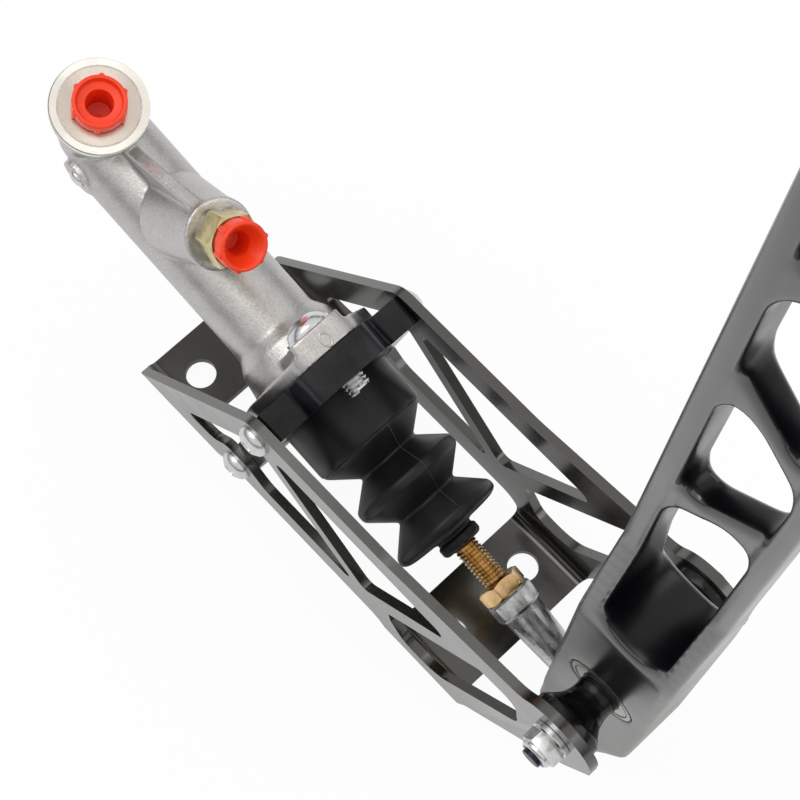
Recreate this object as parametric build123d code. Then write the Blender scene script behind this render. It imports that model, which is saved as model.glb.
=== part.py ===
from build123d import *
import os
from math import atan2, cos, degrees, hypot, radians, sin

# Hydraulic handbrake: a lever in a bent sheet bracket pushes a clutch-style master cylinder.
# Millimetres, +Z up. The origin is on the floor face, in the middle of the four floor holes.
# +X points from the cylinder to the lever, and the whole part is symmetric about y = 0.

# Bracket sheet and floor holes
SHEET = 3.0
WIDTH = 60.0
BEND_R = 4.0
HOLE_DX = 117.3
HOLE_DY = 31.0
FLOOR_HOLE_R = 5.0
TIP_X = -71.75
PLATE_TIP_X = -45.75
PLATE_PIVOT_X = 44.75
PLATE_END_X = 73.5
TOP_Z = 85.3
RAIL_Z = 10.5
INNER_Y = WIDTH / 2 - SHEET

# Lever pivot: an M6 bolt through two 608 bearings
PIVOT_X = 109.65
PIVOT_Z = 89.0
BOSS_R = 13.5
M6_R = 3.0
M6_HOLE_R = 3.2
BEARING_R = 11.0
BEARING_BORE_R = 4.0
BEARING_W = 7.0
FIT = 0.05

# Master cylinder axis: it falls towards the lever
SLOPE = degrees(0.24)
AXIS_X = -11.75
AXIS_Z = 52.9
BARREL_R = 14.0
BORE_R = 9.525
END_A = -104.0
FLANGE_BACK_A = -15.2
FLANGE_EAR_A = -11.8
PLATE_BACK_A = -7.2
PLATE_FRONT_A = 2.5
SCREW_A = -3.0
NOSE_A = 17.0
NOSE_R = 15.0
BOLT_H = 33.5
M8_R = 4.0
M8_HOLE_R = 4.3
BORE_END_A = -92.0
PORT_TOP_H = 25.0
PORT_R = 4.6

# Plate between the walls: its outline and its four side screws, by their height above the cylinder axis
SCREW_HIGH = 21.4
SCREW_LOW = -34.4
SCREW_DEPTH = 13.0
PLATE_LOW_H = -43.0
PLATE_SIDE_H = 30.0
PLATE_TOP_H = BOLT_H + 9.0

# The inlet boss leans towards the flange, on its own axis; both ports are closed by caps
INLET_A = -52.9
INLET_H = 31.4
INLET_LEAN = 33.2
INLET_R = 10.75
INLET_PORT_R = 5.1
WASHER_T = 1.0
ADAPTER_T = 9.5
ADAPTER_FLATS = 15.0
ADAPTER_TURN = 25.5
ADAPTER_NECK = 0.6
CAP_T = 5.0
OUTLET_CAP_R = 8.0
INLET_CAP_R = 7.3
RIB_HALF = 2.1
RIB_H = 19.5
RIB_LOW_A = -89.0
NUB_TURN = 14.5
RING_R = 14.6
RING_T = 3.5
COLUMN_R = 11.8
BARREL_END_A = -98.0
SIDE_PORT_A = -96.7
SIDE_BOSS_Y = 14.3

# Inside the cylinder
CUP_FRONT_A = -34.0
PISTON_FRONT_A = -28.0
PISTON_R = BORE_R - FIT
SOCKET_A = -1.5
SOCKET_R = 6.6
ROD_BALL_R = 5.4
BALL_A = SOCKET_A + 0.3
SPRING_R = 6.6
WIRE_R = 0.9
SPRING_TURNS = 6
STOP_A = 10.1
STOP_T = 1.2
CIRCLIP_T = 1.2
BOOT_T = 1.8
BOOT_END_A = 55.0
LIP_END_A = 60.5

# Lever and the pin of the push rod
LEVER_LEAN = 1.2
LEVER_HALF = 16.0
WINDOW_HALF = 10.4
STRUT_TOP_S = 307.0
HUB_T = 25.0
BEAM_T = 12.0
BEAM_TOP_S = 318.0
TRAVEL = 18.0
PIN_ARM = 68.9
LEVER_FOOT_S = -PIN_ARM - 12.5
PIN_ANGLE = SLOPE - TRAVEL / 2
EYE_R = 12.0
EYE_W = 9.0
BALL_R = 7.0
BALL_W = 12.0
SPACER_T = 1.0
RACE_R = 8.8
RACE_W = 8.4
ROD_END_L = 40.0
JAM_NUT_T = 5.0
TANG_R = 5.8
TANG_L = 100.0
GRIP_R = 15.5
GRIP_LOW = BEAM_TOP_S + 1.0
M6_WASHER_T = 1.6
NUT_T = 6.0

PIN_X = PIVOT_X - PIN_ARM * sin(radians(PIN_ANGLE))
PIN_Z = PIVOT_Z - PIN_ARM * cos(radians(PIN_ANGLE))
PIN_A = (PIN_X - AXIS_X) * cos(radians(SLOPE)) - (PIN_Z - AXIS_Z) * sin(radians(SLOPE))
PIN_H = (PIN_X - AXIS_X) * sin(radians(SLOPE)) + (PIN_Z - AXIS_Z) * cos(radians(SLOPE))
FORK_HALF = BALL_W / 2 + SPACER_T + FIT

# The push rod runs from its ball in the piston down to the pin, a little steeper than the cylinder
ROD_TILT = -degrees(atan2(PIN_H, PIN_A - BALL_A))
PIN_REACH = BALL_A + hypot(PIN_A - BALL_A, PIN_H)
JAM_LOW = PIN_REACH - ROD_END_L - JAM_NUT_T
ROD_FAR_A = PIN_REACH - 19.0

CYLINDER = Location((AXIS_X, 0, AXIS_Z), (0, SLOPE, 0))
INLET = Location((INLET_A, 0, INLET_H), (0, INLET_LEAN, 0)) * Rot(0, -90, 0)
OUTLET = Location((END_A, 0, PORT_TOP_H), (0, -90, 0))
PUSH = CYLINDER * Location((BALL_A, 0, 0), (0, ROD_TILT, 0)) * Location((-BALL_A, 0, 0))
LEVER = Location((PIVOT_X, 0, PIVOT_Z), (0, LEVER_LEAN, 0))
PIVOT = Location((PIVOT_X, 0, PIVOT_Z), (0, 0, 90))
PIN = Location((PIN_X, 0, PIN_Z), (0, 0, 90))


def rounded(corners):
    """Face inside the closed outline through (u, v, radius) corners."""
    count = len(corners)
    arcs = []
    for index, (u, v, radius) in enumerate(corners):
        here = Vector(u, v)
        before = (Vector(*corners[index - 1][:2]) - here).normalized()
        after = (Vector(*corners[(index + 1) % count][:2]) - here).normalized()
        half = radians(before.get_angle(after) / 2)
        if radius == 0:
            arcs.append((here, None, here))
            continue
        reach = radius * cos(half) / sin(half)
        middle = here + (before + after).normalized() * (radius / sin(half) - radius)
        arcs.append((here + before * reach, middle, here + after * reach))
    edges = []
    for index, (start, middle, end) in enumerate(arcs):
        if middle is not None:
            edges.append(ThreePointArc(start, middle, end))
        following = arcs[(index + 1) % count][0]
        if (following - end).length > 0.001:
            edges.append(Line(end, following))
    return make_face(edges)


def across(face, low, high):
    """Extrude a face drawn in X and Z from y = low to y = high."""
    return extrude(Plane.XZ.offset(-low) * face, amount=low - high)


def along(face, low, high):
    """Extrude a face drawn in Y and Z from x = low to x = high."""
    return extrude(Plane.YZ.offset(low) * face, amount=high - low)


def turned(points):
    """Revolve an outline of (x, radius) points about X."""
    return revolve(make_face(Polyline(*points, close=True)), Axis.X, 360)


def rod(radius, low, high):
    """Round bar on X from low to high."""
    return along(Circle(radius), low, high)


def hexagon(flats, low, high):
    """Hexagonal bar on X, its corners cut back as on a turned nut or head."""
    corner = flats / 2 / cos(radians(30))
    cut = (corner - flats / 2) * 0.6
    limit = turned([
        (low, 0), (low, flats / 2), (low + cut, corner), (high - cut, corner), (high, flats / 2), (high, 0),
    ])
    return along(RegularPolygon(flats / 2, 6, major_radius=False), low, high) & limit


def group(solids):
    """One node that holds separate solids."""
    return Compound(children=list(solids))


def wall_outline():
    """Side view of the bracket: long ramp, level top, lever boss and a raised lower edge."""
    plate = rounded([
        (TIP_X, 0, 0), (-43, 0, 6), (-28, RAIL_Z, 12), (PLATE_PIVOT_X, RAIL_Z, 8), (PLATE_PIVOT_X, 0, 0),
        (PLATE_END_X, 0, 2), (79, 14, 15), (115, 68, 25), (PIVOT_X + BOSS_R, PIVOT_Z - 3, 0),
        (PIVOT_X, PIVOT_Z + BOSS_R * 0.9, 0), (PIVOT_X - BOSS_R * 0.7, PIVOT_Z + BOSS_R * 0.71, 0),
        (PIVOT_X - BOSS_R + 0.2, PIVOT_Z + 5.3, 8), (44, TOP_Z, 40), (-11.5, TOP_Z, 8), (TIP_X, 4.5, 1.5),
    ])
    return plate + Pos(PIVOT_X, PIVOT_Z) * Circle(BOSS_R)


def wall_windows():
    """Openings in each wall: they leave two crossing struts over the lower rail."""
    upper = rounded([(-4.5, 73, 3), (70.5, 73, 3), (34.75, 29, 3)])
    front = rounded([
        (-46.5, 20.5, 2), (-34, 21, 8), (-27, 30, 7), (-17, 30, 7), (-10, 23.5, 8), (31.2, 23.9, 2.5),
        (-8, 68, 3), (-12, 60, 7), (-17.5, 60, 6),
    ])
    rear = rounded([
        (46.5, 24, 4), (52, 15, 6), (66, 14.5, 14), (98, 62, 10), (96, 79, 5), (82, 77.5, 3), (45.5, 30, 2),
    ])
    return upper, front, rear


def make_bracket():
    half = WIDTH / 2
    tall = PIVOT_Z + 2 * BOSS_R
    outer = rounded([(-half, tall, 0), (-half, 0, BEND_R + SHEET), (half, 0, BEND_R + SHEET), (half, tall, 0)])
    inner = rounded([(-INNER_Y, tall + 1, 0), (-INNER_Y, SHEET, BEND_R), (INNER_Y, SHEET, BEND_R),
                     (INNER_Y, tall + 1, 0)])
    body = along(outer - inner, TIP_X, PIVOT_X + 2 * BOSS_R) & across(wall_outline(), -half, half)
    for window in wall_windows():
        body -= across(window, -half - 1, half + 1)
    middle = (PLATE_TIP_X + PLATE_PIVOT_X) / 2
    opening = RectangleRounded(PLATE_PIVOT_X - PLATE_TIP_X, 2 * INNER_Y, BEND_R)
    body -= Pos(middle, 0, -1) * extrude(opening, SHEET + 4)
    for x in (-HOLE_DX / 2, HOLE_DX / 2):
        for y in (-HOLE_DY / 2, HOLE_DY / 2):
            body -= Pos(x, y, 0) * Cylinder(FLOOR_HOLE_R, 4 * SHEET)
    body -= PIVOT * rod(M6_HOLE_R, -half - 1, half + 1)
    for h in (SCREW_HIGH, SCREW_LOW):
        body -= side_hole(h, M6_HOLE_R, half + 1)
    return body


def side_hole(h, radius, reach):
    """Cross hole through both ends of the mount plate."""
    return CYLINDER * Pos(SCREW_A, 0, h) * Rot(90, 0, 0) * Cylinder(radius, 2 * reach)


def make_mount_plate():
    side = INNER_Y - FIT
    outline = rounded([
        (-side, PLATE_LOW_H, 3), (side, PLATE_LOW_H, 3), (side, PLATE_SIDE_H, 2), (16, PLATE_SIDE_H, 6),
        (11.5, PLATE_TOP_H, 8), (-11.5, PLATE_TOP_H, 8), (-16, PLATE_SIDE_H, 6), (-side, PLATE_SIDE_H, 2),
    ])
    body = along(outline, PLATE_BACK_A, PLATE_FRONT_A)
    body -= rod(NOSE_R + FIT, PLATE_BACK_A - 1, PLATE_FRONT_A + 1)
    body -= rod(21, PLATE_FRONT_A - 1.5, PLATE_FRONT_A + 1)
    for h in (-BOLT_H, BOLT_H):
        body -= Pos(0, 0, h) * rod(M8_R + FIT, PLATE_BACK_A - 1, PLATE_FRONT_A + 1)
    body = CYLINDER * body
    for h in (SCREW_HIGH, SCREW_LOW):
        for turn in (0, 180):
            hole = rod(M6_R + FIT, INNER_Y - SCREW_DEPTH, INNER_Y + 1)
            hole = Pos(SCREW_A, 0, h) * Rot(0, 0, turn - 90) * hole
            body -= CYLINDER * hole
    return body


def button_screw(radius, head_r, head_h, length, key):
    """Button-head socket screw on X: head from x = 0 outwards, shank towards -X."""
    head = turned([
        (0, 0), (0, head_r), (head_h * 0.25, head_r), (head_h * 0.62, head_r * 0.86),
        (head_h * 0.9, head_r * 0.6), (head_h, head_r * 0.48), (head_h, 0),
    ])
    socket = along(RegularPolygon(key / 2, 6, major_radius=False), head_h * 0.35, head_h + 1)
    return head - socket + rod(radius, -length, 0)


def make_mount_screws():
    screws = []
    for h in (SCREW_HIGH, SCREW_LOW):
        for turn in (-90, 90):
            place = CYLINDER * Pos(SCREW_A, 0, h) * Rot(0, 0, turn) * Pos(WIDTH / 2, 0, 0)
            screws.append(place * button_screw(M6_R, 5.25, 3.3, SHEET + SCREW_DEPTH - 1, 4.0))
    return group(screws)


def flange_outline():
    """Two-bolt cylinder flange: tall ears over a wide middle."""
    end = BOLT_H + 8.0
    return rounded([
        (-23, -9, 8), (-9.5, -end, 8.5), (9.5, -end, 8.5), (23, -9, 8),
        (23, 9, 8), (9.5, end, 8.5), (-9.5, end, 8.5), (-23, 9, 8),
    ])


def make_cylinder_body():
    """Die casting: barrel with its outlet column, leaning inlet boss, top rib, flange and nose."""
    body = turned([
        (BARREL_END_A, 0), (BARREL_END_A, BARREL_R), (-24, BARREL_R), (-20, 16.5), (FLANGE_EAR_A, 18),
        (PLATE_BACK_A, 18), (PLATE_BACK_A, NOSE_R), (8, NOSE_R), (8, NOSE_R - 1.5), (12, NOSE_R - 1.5),
        (12, NOSE_R), (NOSE_A - 1, NOSE_R), (NOSE_A, NOSE_R - 1), (NOSE_A, 0),
    ])
    body += along(flange_outline(), FLANGE_EAR_A, PLATE_BACK_A)
    body += along(flange_outline() & Rectangle(17.6, 4 * BOLT_H), FLANGE_BACK_A, FLANGE_EAR_A + 1)
    body += turned([(END_A, 0), (END_A, COLUMN_R), (BARREL_END_A, BARREL_R), (BARREL_END_A, 0)])
    body += Pos(END_A, 0, 0) * Sphere(COLUMN_R)
    body += Pos(END_A, 0, PORT_TOP_H / 2) * Cylinder(COLUMN_R, PORT_TOP_H)
    body += OUTLET * turned([
        (-RING_T - 2.5, 0), (-RING_T - 2.5, COLUMN_R), (-RING_T, RING_R), (-0.5, RING_R), (0, RING_R - 0.5), (0, 0),
    ])
    body += INLET * turned([(-28, 0), (-28, INLET_R + 2), (-7, INLET_R), (0, INLET_R), (0, 0)])
    rim_a = INLET_A - INLET_R * cos(radians(INLET_LEAN)) - 0.6
    rim_h = INLET_H + INLET_R * sin(radians(INLET_LEAN)) - 1.2
    rib = rounded([
        (END_A, 0, 0), (rim_a + 5, 0, 0), (rim_a + 5, rim_h - 9, 0), (rim_a, rim_h, 0), (RIB_LOW_A, RIB_H, 9),
        (END_A, RIB_H, 0),
    ])
    body += across(rib, -RIB_HALF, RIB_HALF)
    body += Pos(SIDE_PORT_A, 0, 0) * Rot(0, 0, -90) * rod(6.0, 8, SIDE_BOSS_Y)
    body -= rod(BORE_R, BORE_END_A, NOSE_A + 1)
    body -= rod(BORE_R + 1, STOP_A + STOP_T + FIT, STOP_A + STOP_T + CIRCLIP_T + 2 * FIT)
    body -= rod(2.5, END_A, BORE_END_A + 1)
    body -= OUTLET * turned([(-18, 0), (-16, PORT_R), (-1, PORT_R), (0, PORT_R + 1), (1, PORT_R + 1), (1, 0)])
    body -= OUTLET * rod(2.5, -PORT_TOP_H, -15)
    body -= INLET * turned([(-13, 0), (-11, INLET_PORT_R), (1, INLET_PORT_R), (1, 0)])
    body -= INLET * rod(1.5, -28, -12)
    body -= Pos(SIDE_PORT_A, 0, 0) * Rot(0, 0, -90) * rod(3.05, SIDE_BOSS_Y - 2.8, SIDE_BOSS_Y + 2)
    for h in (-BOLT_H, BOLT_H):
        body -= Pos(0, 0, h) * rod(M8_HOLE_R, FLANGE_BACK_A - 1, PLATE_BACK_A + 1)
    return CYLINDER * body


def make_side_plug():
    face = SIDE_BOSS_Y - 0.4
    plug = rod(3.0, face - 2.3, face) + turned([(face, 0), (face, 2.4), (face + 0.5, 1.6), (face + 0.5, 0)])
    return CYLINDER * Pos(SIDE_PORT_A, 0, 0) * Rot(0, 0, -90) * plug


def make_cylinder_bolts():
    """Two flanged button-head screws whose ends stand a little out of the plate."""
    bolts = []
    for h in (-BOLT_H, BOLT_H):
        screw = button_screw(M8_R, 6.9, 4.6, PLATE_FRONT_A + 4.0 - FLANGE_BACK_A, 5.0) + rod(7.7, 0, 1.0)
        bolts.append(CYLINDER * Pos(FLANGE_BACK_A, 0, h) * Rot(0, 0, 180) * screw)
    return group(bolts)


def shipping_cap(cap_r, height, stem_r, stem_l, nubs):
    """Push-in dust cap on X: ribbed head, dished face and a blind hole down its stem."""
    cap = turned([
        (-stem_l, 0), (-stem_l, stem_r - 0.8), (-stem_l + 2, stem_r), (0, stem_r), (0, cap_r - 0.5), (0.5, cap_r),
        (height - 0.5, cap_r), (height, cap_r - 0.5), (height, cap_r - 1.6), (height - 1, cap_r - 2),
        (height - 1, stem_r - 0.6), (1.6 - stem_l, stem_r - 0.9), (1.6 - stem_l, 0),
    ])
    for index in range(nubs):
        turn = NUB_TURN + index * 360 / nubs
        cap += Rot(turn, 0, 0) * Pos(0, 0, cap_r - 0.2) * rod(0.9, 0.3, height - 0.6)
    return cap


def make_outlet_cap():
    return CYLINDER * OUTLET * shipping_cap(OUTLET_CAP_R, CAP_T, PORT_R - FIT, 9.0, 6)


def make_inlet_washer():
    return CYLINDER * INLET * (rod(ADAPTER_FLATS / 2, 0, WASHER_T) - rod(INLET_PORT_R, -1, WASHER_T + 1))


def make_inlet_adapter():
    body = Rot(ADAPTER_TURN, 0, 0) * hexagon(ADAPTER_FLATS, WASHER_T, WASHER_T + ADAPTER_T)
    body += turned([(-10.5, 0), (-10.5, 4), (-9.5, INLET_PORT_R - FIT), (WASHER_T, INLET_PORT_R - FIT), (WASHER_T, 0)])
    body += rod(6.6, WASHER_T + ADAPTER_T, WASHER_T + ADAPTER_T + ADAPTER_NECK)
    body -= rod(2.2, -12, 12)
    body -= rod(4.0, -2, 12)
    return CYLINDER * INLET * body


def make_inlet_cap():
    cap = shipping_cap(INLET_CAP_R, CAP_T, 4.0 - FIT, 8.0, 6)
    return CYLINDER * INLET * Pos(WASHER_T + ADAPTER_T + ADAPTER_NECK, 0, 0) * cap


def make_piston():
    body = turned([
        (PISTON_FRONT_A, 0), (PISTON_FRONT_A, PISTON_R), (-24, PISTON_R), (-24, 6.5), (-16, 6.5), (-16, PISTON_R),
        (-13, PISTON_R), (-13, 7.5), (-9, 7.5), (-9, PISTON_R), (STOP_A - FIT, PISTON_R), (STOP_A - FIT, 0),
    ])
    body -= rod(SOCKET_R, SOCKET_A, STOP_A + 1)
    body -= Pos(SOCKET_A, 0, 0) * Sphere(SOCKET_R)
    return CYLINDER * body


def make_primary_cup():
    cup = turned([
        (PISTON_FRONT_A - FIT, 0), (PISTON_FRONT_A - FIT, PISTON_R - 0.2), (CUP_FRONT_A + 1, PISTON_R),
        (CUP_FRONT_A, PISTON_R - 0.4), (CUP_FRONT_A, PISTON_R - 1.6), (-31, 5), (-31, 0),
    ])
    return CYLINDER * cup


def make_secondary_seal():
    return CYLINDER * turned([(-12.8, 7.55), (-12.8, 9), (-12.2, PISTON_R), (-9.6, PISTON_R - 0.3), (-9.2, 7.55)])


def make_return_spring():
    low = BORE_END_A + WIRE_R + 0.2
    high = CUP_FRONT_A - 0.6
    path = Helix((high - low) / SPRING_TURNS, high - low, SPRING_R)
    wire = sweep(Plane(path @ 0, z_dir=path % 0) * RegularPolygon(WIRE_R, 6), path, is_frenet=True)
    return CYLINDER * Pos(low, 0, 0) * Rot(0, 90, 0) * wire


def make_stop_washer():
    return CYLINDER * (rod(BORE_R - FIT, STOP_A, STOP_A + STOP_T) - rod(6.8, STOP_A - 1, STOP_A + 2))


def make_circlip():
    low = STOP_A + STOP_T + FIT + 0.02
    ring = rod(BORE_R + 0.9, low, low + CIRCLIP_T) - rod(BORE_R - 1.5, low - 1, low + 2)
    gap = Pos(low, 0, -BORE_R) * Box(4, 6, 6)
    return CYLINDER * (ring - gap)


def make_boot():
    """Bellows: a plain collar on the cylinder's nose, two folds, and a neck that follows the push rod."""
    seat = NOSE_R + 0.1
    outside = [
        (PLATE_FRONT_A - 1.4, 19), (18, 19), (19.5, 17.8), (26, 10), (33.2, 18.2), (35.8, 18.2), (43, 10.5),
        (51, 18.2), (53.3, 18.4), (BOOT_END_A - 0.4, 16.5), (BOOT_END_A, 9),
    ]
    inside = [
        (BOOT_END_A - BOOT_T, 9), (52.4, 16), (51.4, 16), (43, 10.5 - BOOT_T), (35, 16.2), (33.8, 16.2),
        (26, 10 - BOOT_T), (18.2, 16.6), (17.2, seat), (PLATE_FRONT_A - 1.4, seat),
    ]
    neck = [
        (BOOT_END_A - BOOT_T, 4.6), (BOOT_END_A - BOOT_T, 12), (BOOT_END_A, 12), (BOOT_END_A + 0.6, 6.3),
        (LIP_END_A - 3.6, 6.3), (LIP_END_A - 3, 7), (LIP_END_A - 0.8, 7), (LIP_END_A, 6.2), (LIP_END_A, 4.6),
    ]
    return CYLINDER * turned(outside + inside) + PUSH * turned(neck)


def make_pushrod():
    body = turned([
        (BALL_A, 0), (BALL_A, 3.2), (BALL_A + 60, 3.2), (BALL_A + 61, M8_R), (ROD_FAR_A - 1, M8_R),
        (ROD_FAR_A, M8_R - 1), (ROD_FAR_A, 0),
    ])
    body += Pos(BALL_A, 0, 0) * Sphere(ROD_BALL_R)
    return PUSH * body


def make_jam_nut():
    return PUSH * (hexagon(13.0, JAM_LOW, JAM_LOW + JAM_NUT_T) - rod(M8_R + FIT, JAM_LOW - 1, JAM_LOW + 7))


def make_rod_end_body():
    low = PIN_REACH - ROD_END_L
    body = turned([
        (low, 0), (low, 7.2), (low + 0.8, 8), (low + 5.5, 8), (low + 6.5, 6.4), (PIN_REACH - EYE_R, 5.1),
        (PIN_REACH - 6, 5.1), (PIN_REACH - 6, 0),
    ])
    body &= Pos(PIN_REACH - 20, 0, 0) * Box(60, 14, 30)
    eye = turned([(-EYE_W / 2, 0), (-EYE_W / 2, EYE_R - 1.2), (-3, EYE_R), (3, EYE_R), (EYE_W / 2, EYE_R - 1.2),
                  (EYE_W / 2, 0)])
    body += Pos(PIN_REACH, 0, 0) * Rot(0, 0, 90) * eye
    body -= Pos(PIN_REACH, 0, 0) * Rot(0, 0, 90) * rod(RACE_R + 0.02, -EYE_W, EYE_W)
    body -= rod(M8_R + FIT, low - 1, ROD_FAR_A + 2)
    return PUSH * body


def make_rod_end_race():
    ring = rod(RACE_R, -RACE_W / 2, RACE_W / 2) - Sphere(BALL_R + 0.07)
    return PIN * ring


def make_rod_end_ball():
    ball = Sphere(BALL_R) & rod(BALL_R + 1, -BALL_W / 2, BALL_W / 2)
    return PIN * (ball - rod(M8_R + FIT, -BALL_W, BALL_W))


def make_rod_end_spacers():
    low = BALL_W / 2 + FIT / 2
    washer = rod(5.6, low, low + SPACER_T) - rod(M8_R + FIT, 0, 10)
    return group([PIN * washer, PIN * Rot(0, 0, 180) * washer])


def make_rod_end_bolt():
    half = HUB_T / 2
    bolt = button_screw(M8_R, 7.0, 4.4, HUB_T + 8.4, 5.0)
    return PIN * Rot(0, 0, 180) * Pos(half, 0, 0) * bolt


def make_rod_end_nut():
    half = HUB_T / 2
    nut = hexagon(13.0, half, half + 7.4) - rod(M8_R + FIT, 0, 40)
    return PIN * nut


def lever_windows():
    """Openings between the lever's two edge rails, parted by a zigzag of thin struts."""
    rail = WINDOW_HALF
    return [
        rounded([(-rail, 53, 9), (rail, 53, 9), (rail, 161, 5), (-rail, 138, 9)]),
        rounded([(-rail, 148, 4), (rail, 169, 9), (rail, 195, 9), (-rail, 216, 5)]),
        rounded([(-rail, 224, 9), (rail, 204, 4), (rail, 278, 5), (-rail, 256, 9)]),
        rounded([(-rail, 266, 4), (rail, 288, 6), (rail, STRUT_TOP_S, 5), (-rail, STRUT_TOP_S, 5)]),
    ]


def make_lever():
    outline = rounded([
        (-LEVER_HALF - 1, LEVER_FOOT_S, 12), (6, LEVER_FOOT_S, 10), (LEVER_HALF, -47, 14), (LEVER_HALF - 1, BEAM_TOP_S, 10),
        (-LEVER_HALF, BEAM_TOP_S, 10),
    ])
    hub = HUB_T / 2
    beam = BEAM_T / 2
    profile = rounded([
        (-hub, LEVER_FOOT_S - 3, 0), (hub, LEVER_FOOT_S - 3, 0), (hub, 50, 40), (beam, 105, 60), (beam, BEAM_TOP_S + 1, 0),
        (-beam, BEAM_TOP_S + 1, 0), (-beam, 105, 60), (-hub, 50, 40),
    ])
    body = across(outline, -hub, hub) & along(profile, -2 * LEVER_HALF, 2 * LEVER_HALF)
    sides = body.edges().filter_by(lambda edge: edge.length > 60)
    body = fillet(sides, 2.2)
    for window in lever_windows():
        body -= across(window, -hub - 1, hub + 1)
    recess = rounded([
        (-WINDOW_HALF, 122, 6), (WINDOW_HALF, 122, 6), (WINDOW_HALF, STRUT_TOP_S, 5), (-WINDOW_HALF, STRUT_TOP_S, 5),
    ])
    for low, high in ((beam - 2, hub), (-hub, 2 - beam)):
        body -= across(recess, low, high)
    body += Pos(0, 0, BEAM_TOP_S + TANG_L / 2 - 2) * Cylinder(TANG_R, TANG_L + 4)
    body -= Pos(0, 0, BEAM_TOP_S + TANG_L) * Cylinder(2.55, 36)
    pockets = rod(BEARING_R + 0.02, -hub - 1, BEARING_W - hub) + rod(BEARING_R + 0.02, hub - BEARING_W, hub + 1)
    body -= Rot(0, 0, 90) * (pockets + rod(9.2, -hub, hub))
    body = LEVER * body
    body -= PIN * rod(M8_R + FIT, -hub - 1, hub + 1)
    slot = rounded([(-40, 16, 0), (8, 16, 10), (17, 0, 12), (17, -40, 0), (-40, -40, 0)])
    return body - Pos(PIN_X, 0, PIN_Z) * across(slot, -FORK_HALF, FORK_HALF)


def make_hand_grip():
    high = BEAM_TOP_S + TANG_L
    grip = turned([
        (GRIP_LOW, TANG_R + FIT), (GRIP_LOW, 17), (GRIP_LOW + 4, 18), (GRIP_LOW + 8, 15), (GRIP_LOW + 30, 14.2),
        (GRIP_LOW + 60, GRIP_R), (high - 12, 14.6), (high, 14.6), (high, TANG_R + FIT),
    ])
    return LEVER * Rot(0, -90, 0) * grip


def make_grip_cap():
    low = BEAM_TOP_S + TANG_L + FIT
    cap = turned([(low, 3.2), (low, 15), (low + 3, 15), (low + 5, 13.5), (low + 6, 10), (low + 6, 3.2)])
    return LEVER * Rot(0, -90, 0) * cap


def make_grip_screw():
    high = BEAM_TOP_S + TANG_L + FIT + 6
    return LEVER * Rot(0, -90, 0) * Pos(high, 0, 0) * button_screw(2.5, 4.75, 2.8, 20, 3.0)


def make_pivot_bearings():
    half = BEARING_W / 2
    ring = [(-half, 4.0), (-half, 6.1), (0.3 - half, 6.3), (0.3 - half, 9.3), (-half, 9.5), (-half, 10.7),
            (0.3 - half, BEARING_R)]
    ring += [(-x, r) for x, r in reversed(ring)]
    bearing = turned(ring)
    middle = HUB_T / 2 - half
    return group([PIVOT * Pos(middle, 0, 0) * bearing, PIVOT * Pos(-middle, 0, 0) * bearing])


def make_pivot_sleeve():
    half = HUB_T / 2 - BEARING_W - FIT
    return PIVOT * (rod(5.8, -half, half) - rod(M6_R + FIT, -20, 20))


def make_pivot_spacers():
    face = HUB_T / 2 + 0.1
    spacer = turned([
        (HUB_T / 2 - BEARING_W + 0.4, M6_R + FIT), (HUB_T / 2 - BEARING_W + 0.4, BEARING_BORE_R - FIT),
        (face, BEARING_BORE_R - FIT), (face, 6.2), (face + 1.4, 6.3), (face + 3, 6.0), (face + 5, 6.2),
        (face + 7.5, 7.0), (face + 9.6, 8.6), (INNER_Y - 3.2, 10.2), (INNER_Y - 2.6, 10.5), (INNER_Y, 10.5),
        (INNER_Y, M6_R + FIT),
    ])
    return group([PIVOT * spacer, PIVOT * Rot(0, 0, 180) * spacer])


def make_pivot_washers():
    washer = rod(6.0, WIDTH / 2, WIDTH / 2 + M6_WASHER_T) - rod(M6_HOLE_R, 0, WIDTH)
    return PIVOT * Rot(0, 0, 180) * washer


def make_pivot_bolt():
    seat = WIDTH / 2 + M6_WASHER_T
    shank = WIDTH / 2 + seat + NUT_T + 1.2
    return PIVOT * Pos(WIDTH / 2, 0, 0) * button_screw(M6_R, 5.25, 3.3, shank, 4.0)


def make_pivot_nut():
    seat = WIDTH / 2 + M6_WASHER_T
    nut = hexagon(10.0, -seat - 4.6, -seat)
    nut += turned([
        (-seat - NUT_T, 0), (-seat - NUT_T, 4.0), (-seat - NUT_T + 0.6, 4.6), (-seat - 4.2, 4.6), (-seat - 4.2, 0),
    ])
    nut -= rod(M6_R + FIT, -WIDTH, 0)
    return PIVOT * (nut - rod(3.9, -seat - NUT_T - 1, -seat - 4.4))


def make_pivot_nut_insert():
    seat = WIDTH / 2 + M6_WASHER_T
    return PIVOT * (rod(3.85, -seat - NUT_T + 0.1, -seat - 4.4) - rod(M6_R + FIT, -WIDTH, 0))


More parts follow.
